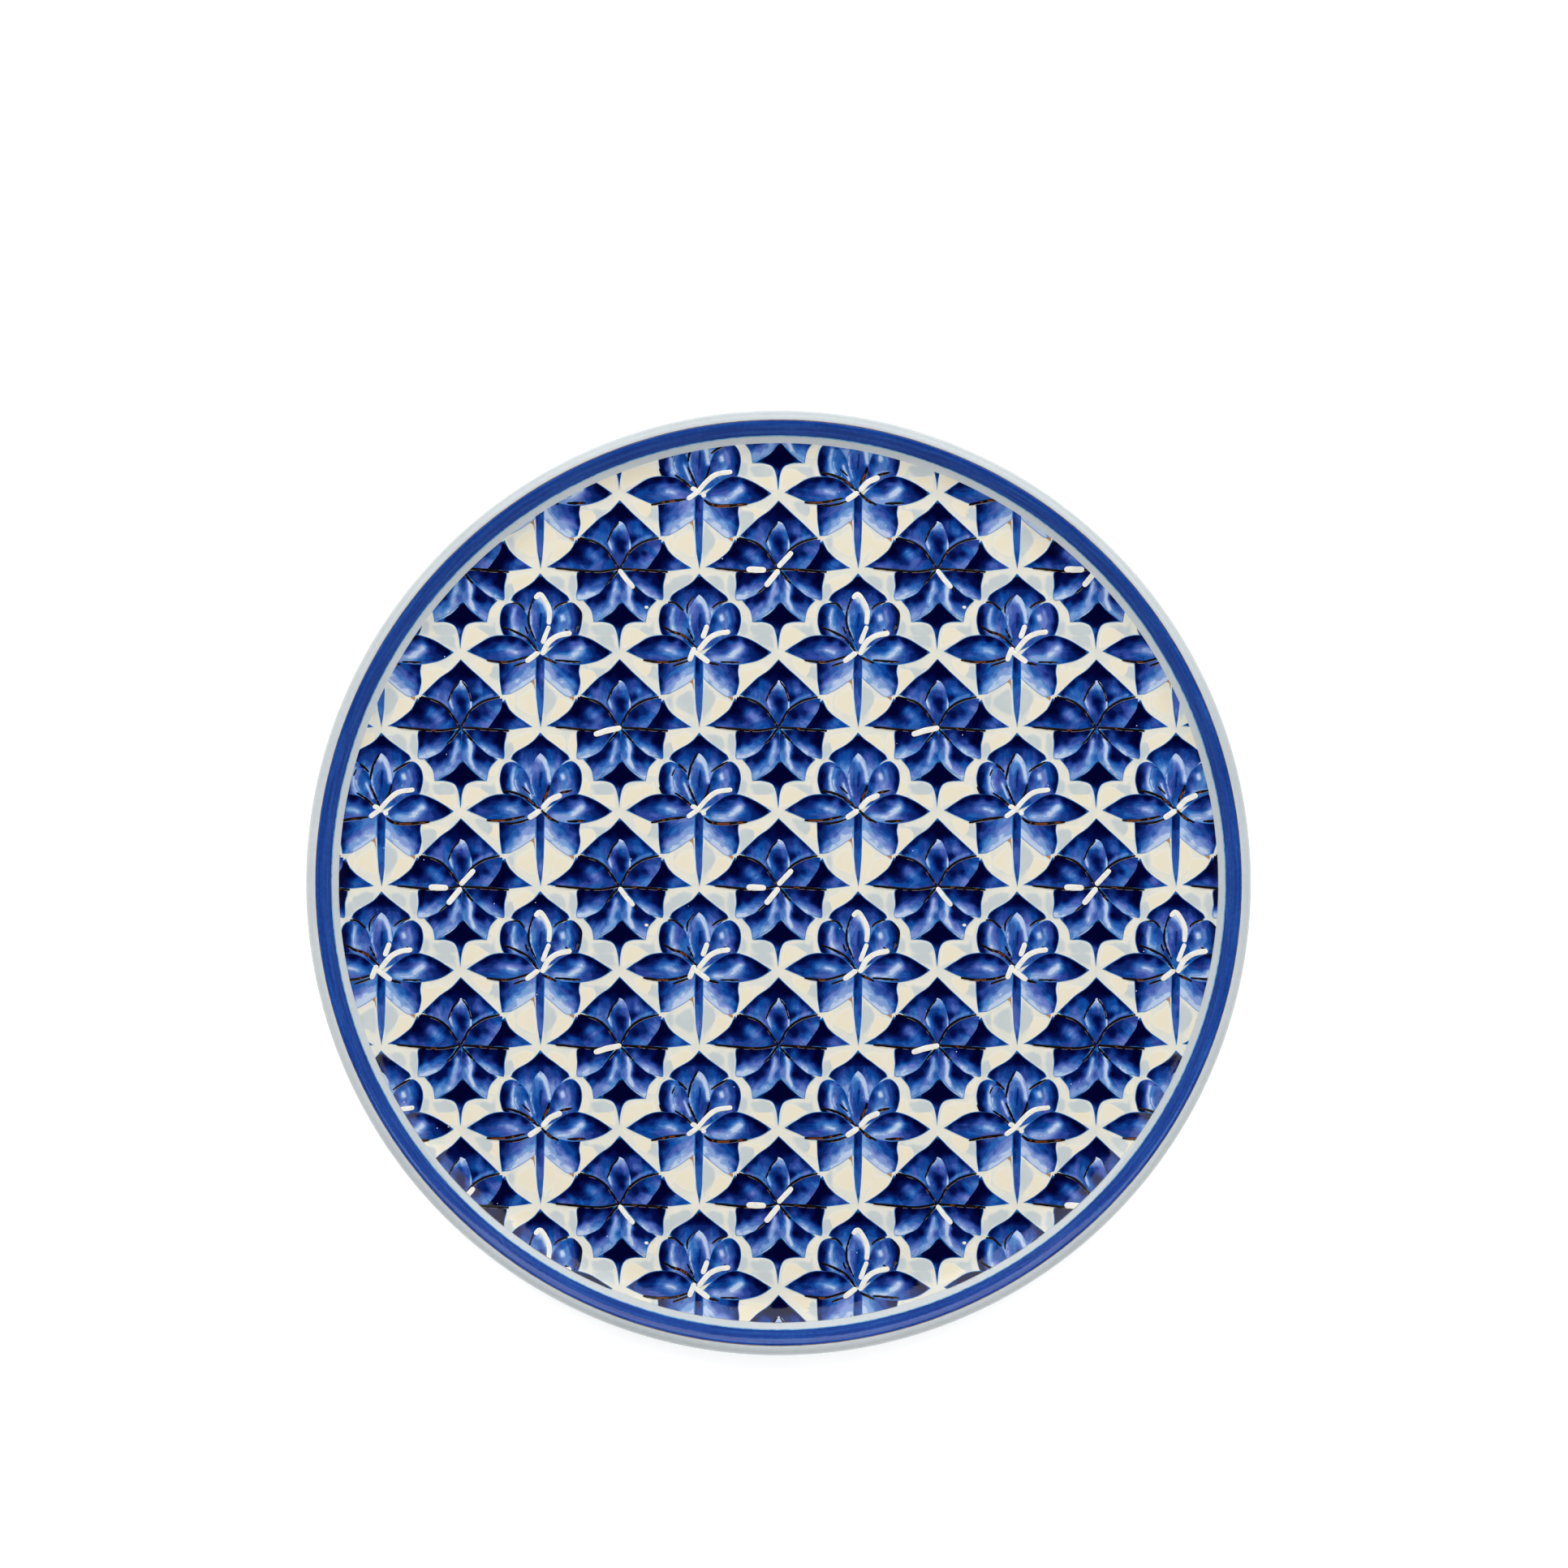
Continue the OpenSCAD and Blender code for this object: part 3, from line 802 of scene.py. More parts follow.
LOTUS = [
    petal(
        "lotus_caps", 0, 90,
        [
            ((0, 22.4), (-1.6, 20.4), (-3.4, 19), (-6.4, 17.3), (-7.9, 16)),
            ((-8.5, 14.7), (-6.2, 13.2)),
            ((-3.2, 7.4), (-1.6, 3)),
            ((0, -0.2), (1.6, 3), (3.2, 7.4), (6.5, 13.4)),
            ((8.5, 14.7), (8, 15.8), (6.4, 17.1), (3.8, 19.1), (1.8, 20.6)),
        ],
        [
            (0, 21, 0.04), *both((2.6, 18.6, 0.05), (6.6, 16.2, 0.14), (2.2, 17.3, 0.4), (5.4, 15.4, 0.42),
            (4.6, 13.4, 0.62)), (0, 19, 0.08), (0, 17.4, 0.3), *both((3.2, 15.2, 0.5), (7.5, 15.2, 0.24),
            (3.4, 11.4, 0.78)),
        ],
    ),
    petal(
        "lotus_crown_petals", 0.7, 80,
        [
            ((-0.3, 0.2), (-4.2, 2.5), (-7.2, 4), (-10.3, 4.5), (-11.4, 7.2), (-11.5, 10.2), (-10.5, 13),
            (-8.4, 14), (-6, 13.2), (-4, 11.2), (-2.9, 8.5), (-2, 4.5)),
        ],
        [
            (-11, 7, 0.05), (-11.2, 10, 0.04), (-10, 12.8, 0.16), (-10, 5.4, 0.1), (-9.6, 9.5, 0.16),
            (-8.9, 6.6, 0.5), (-8, 9.4, 0.66), (-8.6, 12, 0.4), (-6.6, 13, 0.52), (-7.6, 6, 0.9),
            (-5.4, 4.6, 0.66), (-3, 2.9, 0.42), (-5, 12, 0.4), (-9.2, 13.4, 0.46),
        ],
        [
            ([(-7.4, 12.2), (-7.9, 9.6), (-7.8, 7.4), (-6.8, 5.6)], 0.7, 0.86),
        ],
    ),
    petal(
        "lotus_crown_petals", 2, 75,
        [
            ((-0.6, 1.1), (-3.8, 3.3), (-6.4, 5.3), (-7.4, 7.8), (-7.4, 9.8)),
            ((-6.7, 12.1), (-4.9, 11.9), (-3.7, 10.6), (-2.9, 8.5), (-2, 4.5)),
        ],
        [
            (-6.6, 11, 0.66), (-6.9, 8.4, 0.66), (-5.5, 9, 0.48), (-4.6, 11, 0.42), (-4, 8.5, 0.56),
            (-5, 6.4, 0.5), (-3.6, 5.2, 0.48), (-6, 6, 0.62), (-2.4, 4, 0.5), (-1.4, 2, 0.4),
            (-3.2, 9.6, 0.34),
        ],
        [
            ([(-4.2, 7.6), (-3.4, 5.6), (-2.5, 3.6)], 0.42, 0.93),
            ([(-7.2, 8.6), (-7, 7.2), (-6.3, 5.8)], 0.36, 0.86),
        ],
    ),
    petal(
        "lotus_crown_petals", 0.7, 100,
        [
            ((0.6, 0.2), (4.4, 1.9), (7.8, 3.6), (10.6, 4.4), (11.7, 6.8), (12, 9.8), (11.1, 12.6),
            (9, 14.1), (6.4, 13.2), (4.2, 11.2), (3.1, 8.5), (1.8, 4.5)),
        ],
        [
            (6.4, 9.6, 0.74), (6.6, 6.6, 0.66), (5.4, 11.4, 0.5), (7.8, 8.2, 0.6), (11.7, 10, 0.1),
            (11.4, 7, 0.12), (10.8, 12.4, 0.2), (4.1, 9, 0.3), (9.4, 9.5, 0.42), (9.2, 6.4, 0.5),
            (3.4, 5, 0.34), (3.6, 3.2, 0.5), (8, 12.9, 0.46), (5, 5.4, 0.66), (1.6, 2.6, 0.6),
            (8.8, 11.4, 0.5), (6.4, 12, 0.56),
        ],
        [
            ([(6.3, 10.2), (6.6, 9.2)], 0.6, 0.97),
            ([(7.8, 11.4), (8.4, 8.8), (7.4, 6.6), (5.4, 5.4)], 0.6, 0.72),
            ([(3.7, 4), (5.6, 5.3), (8.6, 5.9)], 0.5, 0.8),
        ],
    ),
    petal(
        "lotus_centre_petals", 2, 90,
        [
            ((0.1, 0.9), (1.9, 4.3), (3.2, 8.3), (3.1, 11.2), (2.2, 13.8), (1.1, 15.5)),
            ((0, 16.4), (-1.4, 14.8), (-2.5, 12.2), (-3.1, 8.8), (-2, 4.4)),
        ],
        [
            (0, 15, 0.86), (-1.3, 13.4, 0.6), (0.4, 12.6, 0.6), (-1.6, 9, 0.56), (0.2, 8.6, 0.44),
            (1.4, 9.6, 0.5), (0, 5.4, 0.4), (0.8, 3.4, 0.46), (-0.8, 6.8, 0.5), (0.2, 2, 0.56),
            (1.2, 6.4, 0.38), (-1.8, 11.2, 0.6),
        ],
        [
            ([(0, 15.4), (1.3, 13.9), (2.3, 11.4), (2.7, 8.4)], 0.72, 1.0),
            ([(-2.7, 10.5), (-2.6, 7.4), (-1.6, 4.2)], 0.36, 0.88),
            ([(0.3, 10.8), (0, 7)], 0.3, 0.3),
        ],
    ),
    petal(
        "lotus_side_petals", 1, 0,
        [
            ((-21, 0.1), (-17.6, 2.3), (-14.3, 4.2), (-10.8, 4.8), (-7.2, 4.5), (-4.3, 3.2)),
            ((-1.3, 0.2), (-4, -2), (-8.4, -3.1), (-12.9, -3.3), (-17.3, -1.6)),
        ],
        [
            (-20, 0.2, 0.2), (-16, 2.6, 0.1), (-12, 4, 0.03), (-8, 3.6, 0.04), (-4.4, 2.2, 0.12),
            (-15, 0.6, 0.38), (-10.6, 0.4, 0.56), (-8.3, 0.4, 0.84), (-6.4, -0.5, 0.66), (-12.6, 2, 0.28),
            (-3, 0.2, 0.5), (-14, -1.8, 0.44), (-9.5, -2.2, 0.5), (-5, -1.6, 0.5), (-17.4, -0.6, 0.42),
            (-6.4, 1.6, 0.5), (-9.6, 2, 0.42), (-12.4, -0.6, 0.44),
        ],
        [
            ([(-11, 0.8), (-8.6, 0.2), (-5.8, -0.8)], 1.5, 0.62),
            ([(-9.2, 0.4), (-8, 0.2), (-6.8, -0.3)], 0.7, 0.86),
            ([(-14, -1.2), (-10, -1.6)], 0.8, 0.52),
        ],
    ),
    petal(
        "lotus_side_petals", 1, 0,
        [
            ((1.4, -0.8), (3.4, 1.3), (6.4, 3.6), (9.8, 4.8), (13.8, 3.9), (17.3, 2.1)),
            ((20.8, -0.2), (17.9, -2.1), (13.8, -3.4), (8.7, -3.7), (4, -2.7)),
        ],
        [
            (3, 0.2, 0.48), (6, 2.8, 0.14), (9.6, 4, 0.05), (13.6, 3.2, 0.04), (17, 1.4, 0.05),
            (19.8, -0.2, 0.1), (5, 0.6, 0.38), (7.4, 0.4, 0.36), (9.4, 2.2, 0.5), (14.6, 0.4, 0.32),
            (16, -1.4, 0.3), (12, -2.6, 0.5), (8, -3, 0.62), (5, -2.6, 0.66), (12, 2.4, 0.46),
            (6.4, 1.6, 0.36), (13.6, -1.4, 0.42),
        ],
        [
            ([(4.6, -2), (7.8, -2), (10, -0.9), (11.6, 0.7)], 1.5, 0.84),
            ([(9.4, -0.9), (12, 1.1)], 0.9, 0.9),
        ],
    ),
    petal(
        "lotus_skirts", 0, 35,
        [
            ((-1.2, -0.9), (-6, -2), (-11.9, -2.2)),
            ((-11.8, -3.5), (-11.6, -8.5)),
            ((-11, -12.4),),
            ((-8.6, -12.2), (-5.5, -10.5)),
            ((-1.3, -7.7),),
        ],
        [
            (-11.4, -4.4, 0.05), (-11.5, -8.6, 0.08), (-10.9, -11.4, 0.2), (-9.6, -4.4, 0.3),
            (-7.6, -4.2, 0.46), (-5, -4.2, 0.56), (-2, -3.8, 0.66), (-9.8, -7.6, 0.42), (-8.6, -9.6, 0.74),
            (-6.4, -6.6, 0.56), (-9.6, -11.8, 0.84), (-7, -11, 0.95), (-4.4, -9.4, 0.97),
            (-2.2, -7.9, 0.96), (-3.4, -5.8, 0.78), (-1.6, -5.4, 0.86), (-7.8, -2.9, 0.6), (-4, -2.6, 0.74),
            (-6.4, -8.6, 0.86), (-4.6, -7.4, 0.84),
        ],
    ),
    petal(
        "lotus_skirts", 0, -40,
        [
            ((1.2, -0.9), (6, -2), (11.4, -2.6)),
            ((11.5, -3.9), (11.2, -5.6), (11.6, -9)),
            ((10.7, -12.3), (8.1, -13)),
            ((5.2, -11.2), (1.9, -8.3)),
            ((1, -7.3),),
        ],
        [
            (11.1, -4.4, 0.1), (11.3, -8.6, 0.12), (10.8, -11.6, 0.3), (7, -4.6, 0.4), (4.2, -4.6, 0.56),
            (1.7, -3.6, 0.82), (1.8, -6.4, 0.97), (3.6, -7.2, 0.86), (5.6, -6.6, 0.56), (8.4, -6.6, 0.36),
            (8, -9, 0.7), (7.4, -11.8, 0.97), (4.6, -9.8, 0.98), (9.6, -9.6, 0.6), (9.4, -4, 0.22),
            (3, -5.4, 0.8), (6.4, -8.6, 0.82), (9, -12, 0.85), (5.6, -3.2, 0.5),
        ],
    ),
    petal(
        "lotus_stems", 1, 90,
        [
            ((-1.3, -0.8), (-0.2, -0.6)),
            ((1.25, -0.8), (1.15, -9), (0.95, -14.8), (0.65, -18.4)),
            ((0.1, -21.8), (-0.55, -18.4), (-0.95, -14.8), (-1.25, -9)),
        ],
        [
            (-1, -4, 0.16), (0.7, -4, 0.4), (0.1, -8, 0.45), (-0.8, -12, 0.56), (0.5, -12, 0.5),
            (0, -17, 0.56), (0, -21, 0.4), (0.8, -7, 0.5), (-1, -8, 0.3),
        ],
    ),
]

STAR = [
    petal(
        "star_hoods", 0, 90,
        [
            ((0, 19.6), (-2.6, 16.7), (-6, 14.3)),
            ((-11.2, 9.3), (-6.4, 7.3), (-3.2, 4.6)),
            ((0, -2.2), (3.3, 4.2), (6.6, 7.5)),
            ((11, 9.1), (8.1, 11.9), (3.4, 16.3)),
        ],
        [
            (0, 18.4, 0.03), *both((3.2, 15.4, 0.05), (6.8, 12.4, 0.1), (9.4, 9.6, 0.2)), (0, 15.2, 0.1),
            (-6.4, 9.8, 0.62), (5.4, 10.6, 0.66), (4.4, 8.2, 0.16), (-4, 8.5, 0.58), (-3.8, 12.2, 0.44),
            (3.2, 12.6, 0.4), (-2.2, 4.6, 0.5), (2.6, 4.8, 0.24), (-7.6, 8.4, 0.5), (7.8, 9.2, 0.5),
            (-5.4, 11.4, 0.5), (5.6, 12, 0.5), (-1.6, 14.2, 0.2), (6, 8.4, 0.4),
        ],
        [
            ([(-8.6, 8.6), (-5.6, 7.6), (-3.8, 5.8)], 0.6, 0.66),
            ([(3.6, 6.4), (5.8, 8.1), (9, 9.2)], 0.65, 0.7),
        ],
    ),
    petal(
        "star_centre_petals", 2, 90,
        [
            ((0.1, 0.7), (1.9, 2.8), (3.2, 5.4), (2.9, 8.7), (1.9, 11.6), (1, 13)),
            ((0, 13.5), (-1.2, 12.2), (-2.3, 10.6), (-3.6, 8.1), (-2.8, 5.7), (-1.1, 2.8)),
        ],
        [
            (0, 12.9, 0.97), (-0.9, 11.6, 0.82), (0.9, 11.4, 0.8), (0, 10.2, 0.4), (0, 7.4, 0.1),
            (-0.9, 8.8, 0.24), (0.8, 5.4, 0.18), (-2.7, 7, 0.7), (2.3, 8.6, 0.6), (-1.6, 5, 0.58),
            (0.2, 3, 0.46), (2.4, 6, 0.6), (1.3, 9.6, 0.5), (-1.8, 9.6, 0.5), (1, 7.4, 0.2),
        ],
        [
            ([(3, 7.6), (3, 5.2), (1.9, 3.3)], 0.4, 0.95),
            ([(-3.1, 7.8), (-2.4, 5.4)], 0.4, 0.9),
        ],
    ),
    petal(
        "star_wings", 0, -30,
        [
            ((-4, -0.9), (-6, 3), (-10, 6)),
            ((-12.5, 8.4), (-14.2, 5.2), (-17.7, 2.3)),
            ((-21, 0.4), (-14, -0.6)),
        ],
        [
            (-12.2, 7.4, 0.03), (-13.4, 5, 0.04), (-12, 3.4, 0.08), (-16.4, 2.4, 0.14), (-13.6, 0.9, 0.56),
            (-19.6, 0.6, 0.3), (-10.4, 1.6, 0.28), (-16.4, 0.4, 0.6), (-12, 1.8, 0.3), (-10.6, 0.4, 0.5),
        ],
    ),
    petal(
        "star_upper_petals", 1, 35,
        [
            ((-0.3, 0.3), (-3.8, 5.2), (-6.5, 7.3), (-9.4, 8.3)),
            ((-11.9, 8.7), (-12.3, 6), (-11.6, 3), (-10.2, 0.4)),
            ((-8.6, -0.9), (-3.6, -0.6)),
        ],
        [
            (-11.8, 7.8, 0.03), (-11.8, 4.6, 0.05), (-8.7, 4.6, 0.62), (-6.1, 2.4, 0.62), (-6.6, 6.4, 0.12),
            (-9.4, 7.4, 0.06), (-3.8, 4, 0.14), (-10.4, 2.2, 0.24), (-7.6, 0.2, 0.56), (-3.4, 0.6, 0.46),
            (-7.4, 3.4, 0.72), (-1.4, 0.8, 0.3), (-9.6, 0.4, 0.5), (-8.6, 1.4, 0.3), (-5, 4.6, 0.4),
            (-10.4, 5.6, 0.2),
        ],
    ),
    petal(
        "star_wings", 0, -30,
        [
            ((4, -0.9), (6, 3), (10, 6)),
            ((12.7, 8), (13.8, 5.5), (15.7, 3.5)),
            ((20.6, 0.1), (13.8, -0.7)),
        ],
        [
            (12.4, 6.8, 0.02), (12.4, 3.8, 0.02), (14.6, 3.4, 0.1), (16.3, 1.5, 0.56), (19, 0.4, 0.42),
            (13, 0.4, 0.3), (11, 1.2, 0.08), (15, 0.2, 0.56), (9.6, 0.8, 0.1),
        ],
    ),
    petal(
        "star_upper_petals", 1, -35,
        [
            ((0.3, 0.3), (2.9, 4.9), (6.7, 7.5), (9.6, 8.4)),
            ((12, 8.2), (11.6, 5.6), (9.8, 2.4)),
            ((7.2, -0.8), (3.6, -0.4)),
        ],
        [
            (6.7, 5.8, 0.3), (4.6, 3.4, 0.14), (8.2, 1.5, 0.72), (9.4, 4, 0.6), (11, 7.2, 0.4),
            (6.8, 2.6, 0.5), (8.6, 7.2, 0.42), (2.4, 1.8, 0.4), (5.2, 0.2, 0.56), (10.8, 5.4, 0.66),
            (7.2, 4.2, 0.18), (8, 5.6, 0.56), (6.6, 0.6, 0.66),
        ],
    ),
    petal(
        "star_lower_petals", 2, 25,
        [
            ((-0.9, -0.6), (-6.1, -0.6), (-12, -0.9)),
            ((-12.2, -5), (-12.2, -8.9)),
            ((-9.6, -8.9), (-5.8, -7.1), (-3.8, -4.6)),
        ],
        [
            (-11.4, -2, 0.04), (-7, -1.8, 0.04), (-2.6, -1.4, 0.1), (-6.1, -4.4, 0.46), (-11.8, -5, 0.05),
            (-9.3, -7, 0.86), (-11.2, -8.2, 0.92), (-8.6, -4, 0.2), (-3.6, -3.4, 0.42), (-6, -6.4, 0.76),
            (-9.6, -8.4, 0.96), (-7.4, -7.6, 0.9), (-10.6, -6.4, 0.6), (-7.4, -5.4, 0.64),
            (-4.6, -5.2, 0.6),
        ],
    ),
    petal(
        "star_lower_petals", 2, -25,
        [
            ((0.9, -0.6), (6.1, -0.5), (13, -0.9)),
            ((12.6, -5), (12.3, -9)),
            ((11, -8.7), (8.4, -8.1), (5.8, -6.1), (4.1, -4.4)),
        ],
        [
            (12.2, -2, 0.03), (7, -1.8, 0.04), (2.6, -1.4, 0.2), (4.6, -3, 0.46), (12, -5.4, 0.04),
            (8.1, -7.2, 0.9), (10.4, -8.2, 0.9), (7.8, -4.2, 0.36), (5.8, -5.2, 0.74), (10.2, -4.2, 0.1),
            (9.4, -6.2, 0.6), (6.6, -6.4, 0.94), (11.4, -7.2, 0.4), (6, -3, 0.3),
        ],
    ),
    petal(
        "star_bottom_petals", 1, 60,
        [
            ((0.6, -0.5), (0.7, -5)),
            ((0.7, -9.3), (-2.6, -12.5), (-5, -14)),
            ((-7.5, -15.4), (-8.1, -12.2)),
            ((-10.4, -9.2), (-6, -6), (-3, -3)),
        ],
        [
            (-4.6, -8.2, 0.1), (-2.8, -5.5, 0.14), (-7.8, -10.4, 0.5), (-6.1, -13, 0.78), (-1.2, -6.7, 0.8),
            (0, -3, 0.3), (-8.8, -9.4, 0.12), (-4.4, -10.8, 0.58), (-2, -10, 0.76), (-7.2, -14.6, 0.76),
            (-0.4, -8.2, 0.5), (-3.6, -12.2, 0.86), (-6.4, -9.4, 0.14), (-2.8, -8, 0.4),
            (-5.6, -11.8, 0.66),
        ],
        [
            ([(-1, -4), (-1.6, -7), (-2.4, -9.6)], 0.8, 0.84),
        ],
    ),
    petal(
        "star_bottom_petals", 1.4, -60,
        [
            ((0.2, -0.5), (3, -3), (6, -6)),
            ((10.6, -9.2), (8.4, -11.6)),
            ((7.5, -15.4), (6.4, -14.5), (3.5, -12.5), (1.7, -10.4)),
            ((0.4, -9), (0, -5)),
        ],
        [
            (2.9, -6, 0.86), (4.8, -8.4, 0.06), (8.1, -10.4, 0.48), (5.6, -13.3, 0.88), (1, -5, 0.42),
            (4.6, -5.8, 0.12), (9.2, -9.4, 0.14), (6.4, -9, 0.14), (5.4, -11, 0.56), (2.4, -10.4, 0.8),
            (0.6, -2.6, 0.34), (7.2, -14.4, 0.84), (3.8, -10.8, 0.62), (1.2, -8, 0.66), (6.8, -12.2, 0.6),
        ],
        [
            ([(2.3, -3.4), (2.9, -5.6), (2.7, -9), (3.8, -11.8)], 0.6, 0.97),
        ],
    ),
    petal(
        "star_diamonds", 0, 90,
        [
            ((0.4, -9), (-2.3, -12.5)),
            ((-7.3, -15.4), (-4.9, -15.4), (-2, -16.3), (-0.9, -18.3)),
            ((-0.1, -23.2), (0.6, -18.3), (1.7, -16.3), (4.4, -15.4)),
            ((7.3, -15.4), (3.5, -12.5)),
        ],
        [
            (0.2, -11, 0.01), *both((3, -14.2, 0.01), (5.6, -15, 0.2), (2, -15.7, 0.16)), (0, -15, 0),
            (-0.7, -18.6, 0.6), (0.3, -19, 0.1), (0, -21.6, 0.5),
        ],
    ),
]

# ---- The ground between the flowers: warm cream cores and cool bare patches, from a lotus's knot ----

CREAM = [
    (
        (-20.4, 6.4), (-18.5, 6.2), (-16.1, 5.6), (-15.2, 4.7),
        (-16.4, 3.8), (-19.4, 2.1), (-21.4, 1.2), (-21.4, 4),
    ),
    ((-7.8, 20.4), (-5.5, 21.6), (-3.1, 21.9), (-2.2, 21), (-3.1, 19.5), (-5.5, 18), (-7.5, 17.2)),
    ((14.9, 4.7), (17, 4.4), (19.7, 4.4), (20.9, 3.3), (21.2, 0.9), (18.8, 1.8), (16.1, 3.2)),
    ((-18.5, -2.7), (-16.4, -2.7), (-13.8, -4.4), (-13.5, -5.9), (-14.6, -6.8), (-17.3, -5)),
    ((11.8, -5.9), (15.2, -5.6), (15.5, -7.4), (14.9, -9.5), (13.5, -12), (12.2, -12.6), (11.9, -9.5)),
    ((-6.1, -13.6), (-2.8, -11.2), (-1.9, -12.4), (-1.5, -17.5), (-4.3, -16.9), (-6.4, -15.4)),
    ((4.3, -14.8), (5.2, -13.9), (8.5, -14.5), (7.9, -17.2), (5.2, -19), (3.1, -18.9), (4, -16.9)),
    ((-14.6, 10.6), (-13.2, 11.9), (-12.2, 13.2), (-12.6, 10.4)),
]

COOL = [
    (
        (-13.5, 8.3), (-13.2, 5.9), (-12.3, 5), (-14.9, 4.5), (-15.2, 5.5),
        (-17.3, 6.4), (-20, 6.9), (-17, 7.2), (-14.9, 6.9),
    ),
    ((-9.3, 18.9), (-7.8, 19.1), (-7.8, 17.2), (-8.9, 15.4), (-10.1, 14.4), (-10, 16.6)),
    ((2.5, 21), (5.2, 21.2), (6.4, 20.4), (6.7, 18), (5.2, 18.3), (3.4, 19.8)),
    ((8.4, 21), (9.9, 21), (10.2, 16.4), (9.2, 15.4), (8.6, 17.6)),
    ((15.2, 7.4), (18.2, 7.4), (20.3, 6.8), (21.2, 5.3), (19.4, 4.8), (16.7, 4.9), (15.5, 5.9)),
    ((12.3, 8.9), (13.2, 7.7), (13.2, 5.5), (11.3, 5.2), (12, 6.6)),
    ((-13.2, -4.5), (-12, -5.2), (-11.9, -7.6), (-13.5, -7.3), (-14.3, -6.5)),
    (
        (12.6, -4.7), (13.8, -4.1), (15.2, -5), (19.1, -4.7), (20.6, -3.8),
        (18.2, -5.9), (16.4, -7.7), (15.5, -8.3), (15.8, -5.9), (13.5, -5.3),
    ),
    ((1.4, -9.8), (3.4, -11.5), (4.3, -13), (4, -14.8), (2.5, -17.5), (1.1, -18.9)),
    ((-9, -13.9), (-7.2, -12.9), (-7.2, -15.7), (-5.5, -17.5), (-7.8, -16.3)),
]

# ---- Lines and strokes, by flower: two columns and two rows of each make the repeat ----
# White: (path, width). Brown: (path, width).

LOTUS_WHITE = {
    (0, 0): [
        ([(-2.9, -1.6), (-0.5, 0.2), (2.1, 3.1), (4.9, 5.2), (8.9, 5.9)], 1.2),
        ([(1.2, -0.7), (1.4, -0.8)], 1.2),
        ([(-1.8, 1.1), (-1.1, 0.8)], 1.2),
    ],
    (1, 0): [([(1, 1), (2.9, 3), (5.5, 4.2)], 1.4), ([(-2.8, -1.9), (-0.5, -0.3)], 1.4)],
    (0, 1): [
        ([(0.1, 0.6), (3, 3.9), (5.6, 5.2), (8.2, 5.6)], 1.3),
        ([(-1.5, 0.6), (-2.6, -2.1)], 1.35),
        ([(-0.8, -0.4), (2.4, -2.8)], 1.3),
        ([(2.2, 7), (1.2, 4.4)], 1.3),
    ],
    (1, 1): [
        ([(-1.1, 15.6), (-0.1, 16.4), (1.5, 14.6), (2.7, 11.5), (2.5, 8.4)], 1.2),
        ([(2.4, 6.8), (0.8, 2.8)], 1.15),
        ([(0.8, -0.4), (2.5, 2.7), (5.3, 4.6), (8.3, 5.2)], 1.35),
        ([(-3.6, -2.6), (-0.9, -0.6)], 1.3),
    ],
}

